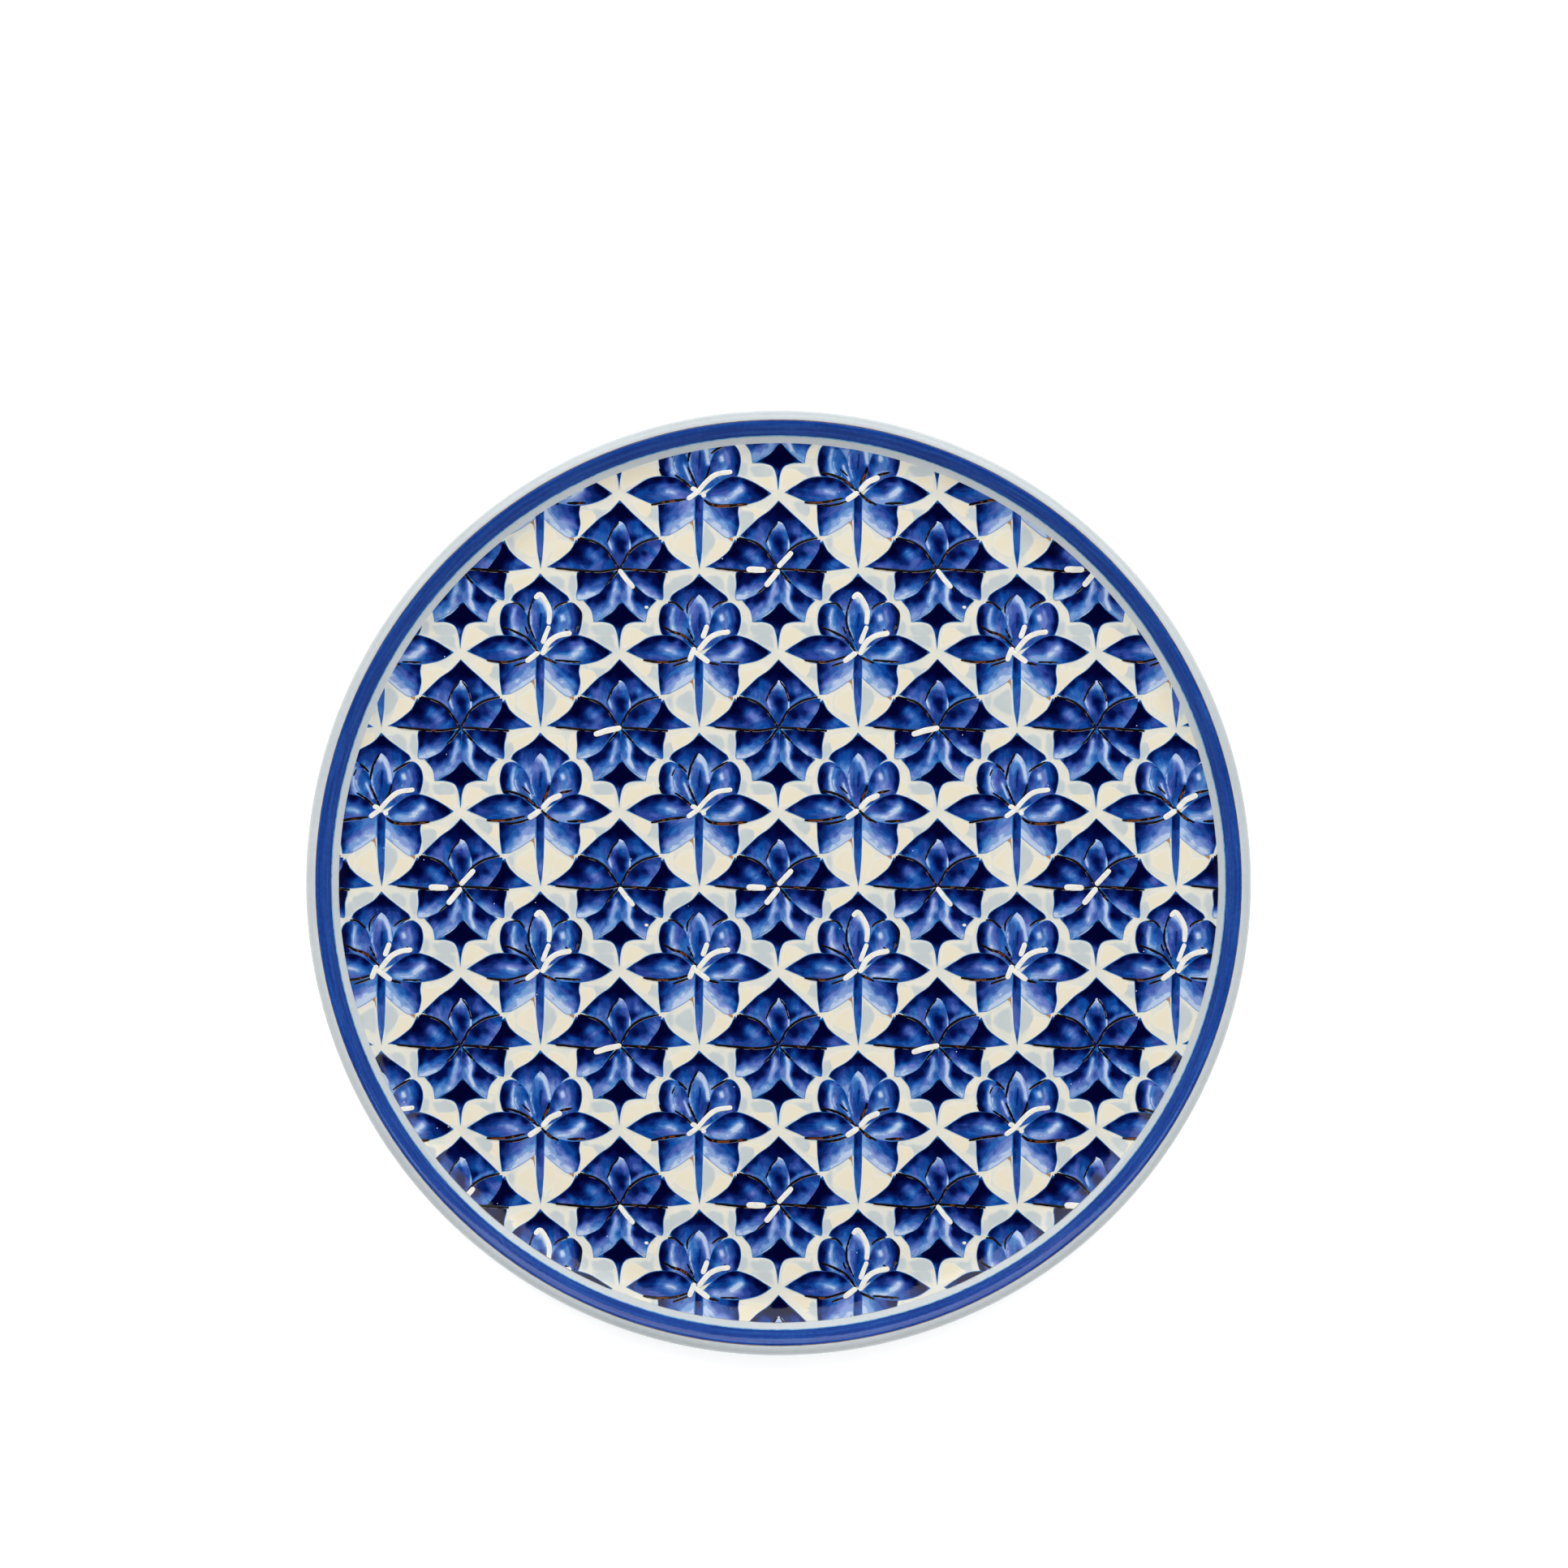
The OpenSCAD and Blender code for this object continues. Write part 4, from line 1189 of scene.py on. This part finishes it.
LOTUS_BROWN = {
    (0, 0): [
        ([(-13.5, -3.4), (-7.8, -2.4), (-4, -1.9)], 0.62),
        ([(1.6, -2.2), (3.1, -3.3), (5.8, -3.8), (13.5, -3.3)], 0.72),
        ([(-6.7, 5), (-4.3, 3.3), (-1.5, 0.7)], 0.5),
        ([(-0.6, 16.1), (-2.4, 12.4), (-3.1, 8.9)], 0.5),
        ([(-3.1, 7.1), (-1.9, 4.4), (-0.1, 0.6)], 0.5),
        ([(3, 7.4), (2.5, 5.3), (1.3, 3.1)], 0.55),
        ([(-5.8, 13.3), (-3.7, 11.2)], 0.55),
        ([(3.6, 11.2), (5.2, 12.3), (8.1, 13.9)], 0.5),
        ([(-7, 11.7), (-7.7, 10)], 0.4),
        ([(-11.3, 6.6), (-10.6, 5)], 0.4),
    ],
    (1, 0): [
        ([(5.8, 5), (8.9, 5.7)], 0.6),
        ([(-10.3, 5.6), (-7.5, 5.1), (-3.7, 3.4), (-0.4, 0.6)], 0.6),
        ([(-5.1, 6.8), (-3, 4.8)], 0.45),
        ([(-15.1, -2.8), (-9.9, -2.8), (-4.6, -1.7)], 0.62),
        ([(-10.1, -3.8), (-6.5, -3.5), (-3, -2.4)], 0.5),
        ([(0.5, -0.1), (2.5, -2), (5.1, -3.4)], 0.62),
        ([(8, -3.1), (12.9, -3)], 0.55),
        ([(2.6, 7.1), (1.9, 4.8), (0.7, 2.5)], 0.65),
    ],
    (0, 1): [
        ([(-10.2, 7.2), (-8, 5.8), (-4.6, 4.6), (-0.8, 1.2)], 0.6),
        ([(-3.3, 6.6), (-1.4, 2.8)], 0.4),
        ([(-1.3, 15.8), (-3.2, 13.4), (-3.4, 11)], 0.4),
        ([(-15.8, -2.4), (-11.3, -3), (-7, -2.8), (-3, -1.7)], 0.6),
        ([(-7.3, -4.1), (-3.2, -2.7)], 0.5),
        ([(2.7, -3.1), (5.4, -3.8)], 0.6),
        ([(6.3, -3), (11.3, -3.1)], 0.42),
        ([(-8.7, 14.1), (-6.9, 13.9), (-4.6, 11.9)], 0.5),
        ([(3.9, 12.6), (5.3, 13.7), (7.8, 14.5)], 0.5),
        ([(7.3, 6.4), (8.8, 5.3)], 0.45),
    ],
    (1, 1): [
        ([(-10.1, 6.8), (-7, 5.6), (-3.2, 3.4), (-0.6, -0.1)], 0.55),
        ([(-2, 15.1), (-3.2, 11), (-3.2, 7.7), (-1.3, 3)], 0.45),
        ([(-4.2, 7), (-3.5, 5.3)], 0.5),
        ([(-15.1, -2.5), (-9.4, -3), (-3, -1.3)], 0.55),
        ([(-7.3, -4.1), (-4.4, -3.1)], 0.5),
        ([(0.8, -1.6), (4.4, -3.3)], 0.6),
        ([(4.4, -2.5), (11.5, -3)], 0.5),
        ([(-8, 13.8), (-6.1, 13.7), (-4.5, 11.9)], 0.45),
        ([(4, 12.2), (5.3, 13.4), (7.7, 14.2)], 0.45),
        ([(9.6, 13.7), (11.6, 11.5), (11.6, 8.7), (9.8, 5.2)], 0.34),
        ([(7.3, 6.3), (8.8, 5.4)], 0.45),
    ],
}

STAR_WHITE = {
    (0, 0): [],
    (1, 0): [([(-0.2, -0.2), (-3.4, -0.9), (-6.7, -1.9)], 1.4)],
    (0, 1): [
        ([(-8.4, -0.3), (-4.4, -0.4)], 1.5),
        ([(-0.3, -1), (-3.3, -4.6)], 1.4),
        ([(0.3, 0.8), (3.5, 4.3)], 1.3),
    ],
    (1, 1): [([(0.2, -0.8), (1.5, -2.6), (3.7, -5.2)], 1.2), ([(7.6, -11.1), (7.8, -11.15)], 0.8)],
}

STAR_BROWN_ALL = [
    ([(-18.1, 0.1), (-6.1, -0.9), (-0.3, 0)], 0.55),
    ([(0.6, -0.1), (7, -0.5), (13.6, -1)], 0.6),
    ([(-0.3, 0.3), (-3.8, 5.2), (-6.5, 7.3), (-11.2, 8.8)], 0.5),
    ([(0.3, 0.4), (2.9, 4.9), (6.7, 7.5), (11, 8.7)], 0.55),
    ([(-0.4, 13), (-2.2, 10.7), (-3.5, 7.6)], 0.45),
]

STAR_BROWN = {
    (0, 0): [
        ([(0.5, 13.1), (1.9, 11.2), (2.9, 7.6)], 0.4),
        ([(-0.3, -0.3), (-2, -2.8), (-3.8, -4.6)], 0.5),
        ([(0.6, -0.8), (4, -4.5)], 0.5),
    ],
    (1, 0): [([(0.6, -0.8), (2.4, -2.6), (4, -4.5)], 0.5), ([(-0.3, -0.8), (-3.4, -4.4)], 0.4)],
    (0, 1): [([(-3.5, -5), (-6, -7.2)], 0.4), ([(0.6, -0.8), (3.4, -4.2)], 0.6)],
    (1, 1): [([(-0.3, -0.3), (-3.8, -4.6)], 0.5), ([(4.2, -5.7), (4.9, -6.4)], 0.6)],
}

TAN_SPECKS = [
    ((-1.7, -7.9), (-2.8, -8.6), (-1.9, -9.2), (-1.5, -11)),
    ((8.2, -13), (9.7, -12.9), (9.6, -14)),
]

# ---- Laying the painting ----

# Thickness of the ivory sheet under everything, and the rise from each level of the painting to the next.
BASE_T = 0.1
LIFT = 0.07
PAINT_T = 0.07
BROWN_LEVEL, BROWN_T = 3, 0.07
WHITE_LEVEL, WHITE_T = 3.5, 0.12
SPECK_T = 0.08
PATCH_T = 0.03
# How much wider than its listed width a line or stroke is laid, and the share by which its ends narrow.
BROWN_SPREAD, BROWN_THIN = 1.38, 0.36
WHITE_SPREAD, WHITE_THIN = 1.16, 0.06
# Petals that lie on other blue bleed less at their edges.
DRY = {"star_upper_petals": 0.3, "star_centre_petals": 0.24, "lotus_centre_petals": 0.16}
layers = {}


def layer(node):
    return layers.setdefault(node, Layer())


def knots(offset_x, offset_y):
    """Every knot of one flower that reaches the field, with its column and row in the two by two repeat."""
    count = math.ceil(FIELD_R / PITCH) + 1
    for i in range(-count, count + 1):
        for j in range(-count, count + 1):
            x, y = offset_x + i * PITCH, offset_y + j * PITCH
            if math.hypot(x, y) < FIELD_R + MOTIF_REACH:
                yield (x, y), i, j


def patches_of(shapes, rng, row):
    """Flat patches of a flower's petals, with each edge a little different from the next flower's."""
    made = []
    for node, loop, dots, glints, level, angle in shapes:
        if row == 1 and (node, level) == ("lotus_crown_petals", 2):
            continue  # The left crown petal shows its inner lobe only in every other row.
        own = wobbled(loop, rng, 0.09)
        patch = Patch(own, spacing=0.85, glints=glints)
        own_dots = [(x, y, float(np.clip(t + rng.normal(0, 0.03), 0, 1))) for x, y, t in dots]
        made.append((node, patch, toned(patch.xy, own_dots, glints), level, math.radians(angle)))
    return made


def lit_side(xy, path, width):
    """How far each point of a line lies towards its lower right, 0 on the middle to 1 at the edge."""
    mid = np.array(smooth_run(path), float)
    away = xy[:, None] - mid
    nearest = np.linalg.norm(away, axis=2).argmin(1)
    away = away[np.arange(len(xy)), nearest]
    return np.clip((away[:, 0] * 0.4 - away[:, 1] * 0.92) / (width / 2), 0, 1)


def lay_flowers(shapes, offset_x, offset_y, column_of, row_of, white, brown):
    """Lays one kind of flower at all its knots, from four variants that make a two by two repeat."""
    variants = {}
    for column in (0, 1):
        for row in (0, 1):
            rng = np.random.default_rng(11 + 2 * column + row)
            lines = []
            for path, width in brown[(column, row)]:
                loop = wobbled(stroke(path, width * BROWN_SPREAD, BROWN_THIN), rng, 0.07)
                patch = Patch(loop, spacing=0.5, inset=0.16)
                # A brown line's tone marks its lit lower right side, where its material paints a highlight.
                lines.append(("brown_lines", patch, 0.5 * lit_side(patch.xy, path, width * BROWN_SPREAD)))
            for path, width in white[(column, row)]:
                loop = wobbled(stroke(path, width * WHITE_SPREAD, WHITE_THIN), rng, 0.06)
                patch = Patch(loop, spacing=0.5, inset=0.2)
                lines.append(("white_strokes", patch, np.zeros(len(patch.xy))))
            variants[(column, row)] = (patches_of(shapes, rng, row), lines)
    for knot, i, j in knots(offset_x, offset_y):
        petals, lines = variants[(column_of(i), row_of(j))]
        for node, patch, tone, level, angle in petals:
            lift = BASE_T + level * LIFT
            dry = DRY.get(node, 0.0)
            layer(node).add(patch, knot, tone, lift, PAINT_T, shoulder=0.8, angle=angle, crown=0.06, dry=dry)
        for node, patch, tone in lines:
            if node == "brown_lines":
                layer(node).add(patch, knot, tone, BASE_T + BROWN_LEVEL * LIFT, BROWN_T, shoulder=0.3)
            else:
                layer(node).add(patch, knot, tone, BASE_T + WHITE_LEVEL * LIFT, WHITE_T, shoulder=0.5)


lay_flowers(
    LOTUS, PITCH / 2, LOTUS_ROW_Y, lambda i: 1 - i % 2, lambda j: j % 2, LOTUS_WHITE, LOTUS_BROWN
)
all_brown = {key: STAR_BROWN_ALL + own for key, own in STAR_BROWN.items()}
lay_flowers(STAR, 0.0, STAR_ROW_Y, lambda i: i % 2, lambda j: 1 - j % 2, STAR_WHITE, all_brown)

ground_rng = np.random.default_rng(5)


def spread(loop, amount):
    """The outline pushed outwards from its middle."""
    middle = loop.mean(0)
    away = loop - middle
    return loop + away / np.linalg.norm(away, axis=1)[:, None] * amount


def ground_patches(shapes, amount, tone):
    """Patches of the ground in one tone, spread by an amount, with edges that wander."""
    loops = [wobbled(spread(blob(p), amount), ground_rng, 0.25) for p in shapes]
    return [(Patch(loop, spacing=0.8, inset=0.45), tone) for loop in loops]


# About this share of the patches round a lotus change between cream and cool.
SWAPPED = 0.25
ground = ground_patches(CREAM, 0.7, 1.0) + ground_patches(COOL, 0.9, 0.0)
specks = [Patch(outline(*((q,) for q in p)), spacing=0.5, inset=0.12) for p in TAN_SPECKS]
for knot, i, j in knots(PITCH / 2, LOTUS_ROW_Y):
    swapped = np.random.default_rng(40 + 2 * (i % 2) + j % 2).random(len(ground)) < SWAPPED
    for (patch, tone), swap in zip(ground, swapped, strict=True):
        tone = 1 - tone if swap else tone
        tones = np.full(len(patch.xy), tone)
        layer("cream_panels").add(patch, knot, tones, BASE_T - 0.01, PATCH_T, shoulder=1.2)
    for patch in specks:
        layer("brown_lines").add(patch, knot, np.ones(len(patch.xy)), BASE_T + LIFT, SPECK_T, shoulder=0.3)

# The ivory sheet under everything is a thin disc of enamel from the plate's centre to the field's edge.
sheet_turns = 240
sheet_r = np.array([0.5, *np.linspace(6, FLOOR_R, 20), *np.linspace(FLOOR_R, FIELD_R, 14)[1:]])
around = np.linspace(0, 2 * math.pi, sheet_turns, endpoint=False)
sheet_xy = np.vstack([np.column_stack([r * np.cos(around), r * np.sin(around)]) for r in sheet_r])
grid = np.arange(len(sheet_r) * sheet_turns).reshape(len(sheet_r), sheet_turns)
step = np.roll(grid, -1, 1)
a, b, c, d = grid[:-1].ravel(), grid[1:].ravel(), step[1:].ravel(), step[:-1].ravel()
hub = len(sheet_xy)
sheet_xy = np.vstack([sheet_xy, [[0, 0]]])
fan = np.column_stack([np.full(sheet_turns, hub), grid[0], step[0]])


class Sheet:
    """The ivory sheet, in the form of a patch."""

    xy = sheet_xy
    tris = np.vstack([np.column_stack([a, b, c]), np.column_stack([a, c, d]), fan])
    edge = np.zeros(len(sheet_xy))


layer("cream_panels").add(Sheet, (0.0, 0.0), np.full(len(sheet_xy), IVORY), 0.0, BASE_T, shoulder=0.4)

PAINT = {
    "navy_paint": cobalt_paint("navy_paint"),
    "cobalt_paint": cobalt_paint("cobalt_paint"),
    "pale_cobalt_paint": cobalt_paint("pale_cobalt_paint"),
    "cream_enamel": cream_enamel(),
    "white_slip": white_slip(),
    "brown_line": brown_line(),
}
for node, made in layers.items():
    made.write(f"{node}_paint", node, PAINT[slot_of(node)])

# ---- Clay and glaze ----

FOOT_OUT_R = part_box("foot_ring")[1].x / MM
FOOT_W = 6
FOOT_IN_R = FOOT_OUT_R - FOOT_W
FOOT_EDGE_W = 3.6
# Bare clay left between the glaze and the foot.
BARE = 0.16

clay = fired_clay()
glaze = white_glaze()
clay_body = frame["nodes"]["clay_body"]
clay_body.data.materials.clear()
clay_body.data.materials.append(clay)

slope_end = 90 + math.degrees(RIM_SLOPE)
slope_foot = math.degrees(RIM_SLOPE) - 90
mid_lip = math.degrees(RIM_SLOPE)
front = [(0, FLOOR_Z), *((r, FLOOR_Z) for r in np.linspace(6, FLOOR_R, 18)[:-1])]
front += arc(CURVE_C, CURVE_R, -90, slope_foot, 16) + arc(LIP_C, LIP_R, slope_end, mid_lip, 12)
front += arc(LIP_C, LIP_R - GLAZE, mid_lip, slope_end, 8) + arc(CURVE_C, CURVE_R + GLAZE, slope_foot, -90, 10)
front += [(0, FLOOR_Z - GLAZE)]
lathe("glazed_front", "front_glaze", front, glaze)

# Half the depth of the rings that the potter's tool left under the plate.
TURNING = 0.05
outer = CURVE_R + WALL
back = arc(LIP_C, LIP_R, mid_lip, slope_foot, 12)
inward = np.arange(1.0, FLOOR_R - FOOT_OUT_R - 1, 0.7)
rings = [(FLOOR_R - t, FOOT_TOP + TURNING * (1 - math.cos(t * 1.1))) for t in inward]
back += arc(CURVE_C, outer, slope_foot, -90, 20) + rings
back += [(FOOT_OUT_R + BARE + 0.3, FOOT_TOP), (FOOT_OUT_R + BARE, FOOT_TOP + 0.15)]
back += [(FOOT_OUT_R + BARE, FOOT_TOP + GLAZE)]
back += arc(CURVE_C, outer - GLAZE, -90, slope_foot, 12) + arc(LIP_C, LIP_R - GLAZE, slope_foot, mid_lip, 8)
lathe("glazed_back", "back_glaze", back, glaze)

well_r = FOOT_IN_R - BARE
well = [(0, FOOT_TOP + GLAZE), (well_r, FOOT_TOP + GLAZE)]
well += [(well_r, FOOT_TOP + 0.15), (well_r - 0.3, FOOT_TOP)]
inward = np.arange(well_r - 1, 3, -0.7)
well += [(r, FOOT_TOP + TURNING * (1 - math.cos((well_r - r) * 1.1))) for r in inward]
well += [(0, FOOT_TOP)]
lathe("glazed_foot_well", "foot_well_glaze", well, glaze)

slant = (FOOT_W - FOOT_EDGE_W) / 2
foot_bottom = 0.7
foot = [(FOOT_IN_R, FOOT_TOP + GLAZE), (FOOT_OUT_R, FOOT_TOP + GLAZE)]
foot += [(FOOT_OUT_R - slant * t, (FOOT_TOP + GLAZE) * (1 - t)) for t in (0.3, 0.6, 0.86)]
foot += arc((FOOT_OUT_R - slant - foot_bottom, foot_bottom), foot_bottom, 0, -90, 6)
foot += arc((FOOT_IN_R + slant + foot_bottom, foot_bottom), foot_bottom, -90, -180, 6)
foot += [(FOOT_IN_R + slant * t, (FOOT_TOP + GLAZE) * (1 - t)) for t in (0.86, 0.6, 0.3)]


def foot_finish():
    """Glaze down the foot's sides to a wiped, wavering line, and bare clay where it stands."""
    s = Shader("foot_finish", specular=0.45)
    height = s.node("ShaderNodeSeparateXYZ")
    s.link(s.position(), height.inputs[0])
    waver = s.noise(s.position(), 60.0, detail=3)
    line = s.math("ADD", height.outputs["Z"], s.math("MULTIPLY", s.math("SUBTRACT", waver, 0.5), 0.002))
    glazed = s.span(line, 0.0019, 0.0023)
    sand = s.noise(s.position(), 1500.0, detail=6, roughness=0.7)
    clay_colour = s.ramp(sand, ((0.3, (150, 112, 82)), (0.5, (192, 152, 116)), (0.7, (214, 182, 148))))
    glaze_colour = s.ramp(waver, ((0.3, (190, 198, 201)), (0.7, (210, 216, 217))))
    rough = s.span(glazed, 0.0, 1.0, 0.85, 0.08)
    bare = s.math("MULTIPLY", s.math("SUBTRACT", 1.0, glazed), sand)
    return s.finish(s.mix(glazed, clay_colour, glaze_colour), height=bare, distance=0.0002, roughness=rough)


lathe("foot", "foot_ring", foot, foot_finish())

band_of_paint("rim_band_paint", "rim_band", BAND_IN, BAND_OUT, 0.12, band_cobalt())
# The two fine lines beside the band lie a little under its edges.
BLEED_W, OUTER_LINE_W, UNDER, LINE_T = 0.22, 0.2, 0.04, 0.05
fine = {"across": 6, "sway": 0.04}
inner, outer_r = BAND_IN - BLEED_W, BAND_OUT + OUTER_LINE_W
band_of_paint("band_bleed", "band_bleed_line", inner, BAND_IN + UNDER, LINE_T, bleed_blue(), **fine)
brown = band_edge_brown()
band_of_paint("band_outer_line", "band_brown_line", BAND_OUT - UNDER, outer_r, LINE_T, brown, **fine)

# ---- Floor, light and camera ----


def stage_floor():
    """A plain pale floor that glows a little, as a lit white table does."""
    s = Shader("floor", roughness=0.9, specular=0.1)
    grain = s.noise(s.position(), 30.0, detail=2)
    material = s.finish(s.ramp(grain, ((0.3, (250, 250, 250)), (0.7, (252, 252, 252)))))
    s.surface.inputs["Emission Color"].default_value = (1.0, 1.0, 1.0, 1.0)
    s.surface.inputs["Emission Strength"].default_value = 0.35
    bpy.ops.mesh.primitive_plane_add(size=6)
    floor = bpy.context.object
    floor.name = "stage_floor"
    floor.data.materials.append(material)


def area_light(name, place, aim, size, power, glossy=True):
    data = bpy.data.lights.new(name, "AREA")
    data.shape = "RECTANGLE"
    data.size, data.size_y = size
    data.energy = power
    made = bpy.data.objects.new(name, data)
    made.location = place
    made.rotation_mode = "QUATERNION"
    made.rotation_quaternion = (Vector(aim) - Vector(place)).to_track_quat("-Z", "Y")
    made.visible_camera = False
    made.visible_glossy = glossy
    bpy.context.scene.collection.objects.link(made)
    return made


stage_floor()
area_light("softbox", (0.0, 1.9, 2.1), (0, 0, 0), (4.6, 2.6), 68)
area_light("overhead_fill", (0.0, -0.2, 3.0), (0, 0, 0), (3.4, 3.4), 62, glossy=False)

# The room gives more light from low down than from overhead.
world = bpy.data.worlds.new("studio")
world.use_nodes = True
bpy.context.scene.world = world
tree = world.node_tree
direction = tree.nodes.new("ShaderNodeTexCoord")
split = tree.nodes.new("ShaderNodeSeparateXYZ")
level = tree.nodes.new("ShaderNodeMapRange")
level.inputs["From Min"].default_value = 0.25
level.inputs["From Max"].default_value = 0.9
level.inputs["To Min"].default_value = 0.30
level.inputs["To Max"].default_value = 0.015
tree.links.new(direction.outputs["Generated"], split.inputs[0])
tree.links.new(split.outputs["Z"], level.inputs["Value"])
tree.links.new(level.outputs["Result"], tree.nodes["Background"].inputs["Strength"])
tree.nodes["Background"].inputs["Color"].default_value = (1.0, 1.0, 1.0, 1.0)

# The frame's width is measured at the height of the rim's band, which the camera is this far above.
VIEW_FROM = 1.2
BAND_LEVEL = 0.0145
FRAME_W = 0.448
SENSOR_W = 36
camera_data = bpy.data.cameras.new("camera")
camera_data.sensor_width = SENSOR_W
camera_data.lens = SENSOR_W * VIEW_FROM / FRAME_W
camera_data.shift_x = 0.0035
camera_data.shift_y = 0.063
camera = bpy.data.objects.new("camera", camera_data)
camera.location = (0, 0, VIEW_FROM + BAND_LEVEL)
bpy.context.scene.collection.objects.link(camera)
bpy.context.scene.camera = camera

bpy.context.scene.view_settings.view_transform = "Standard"
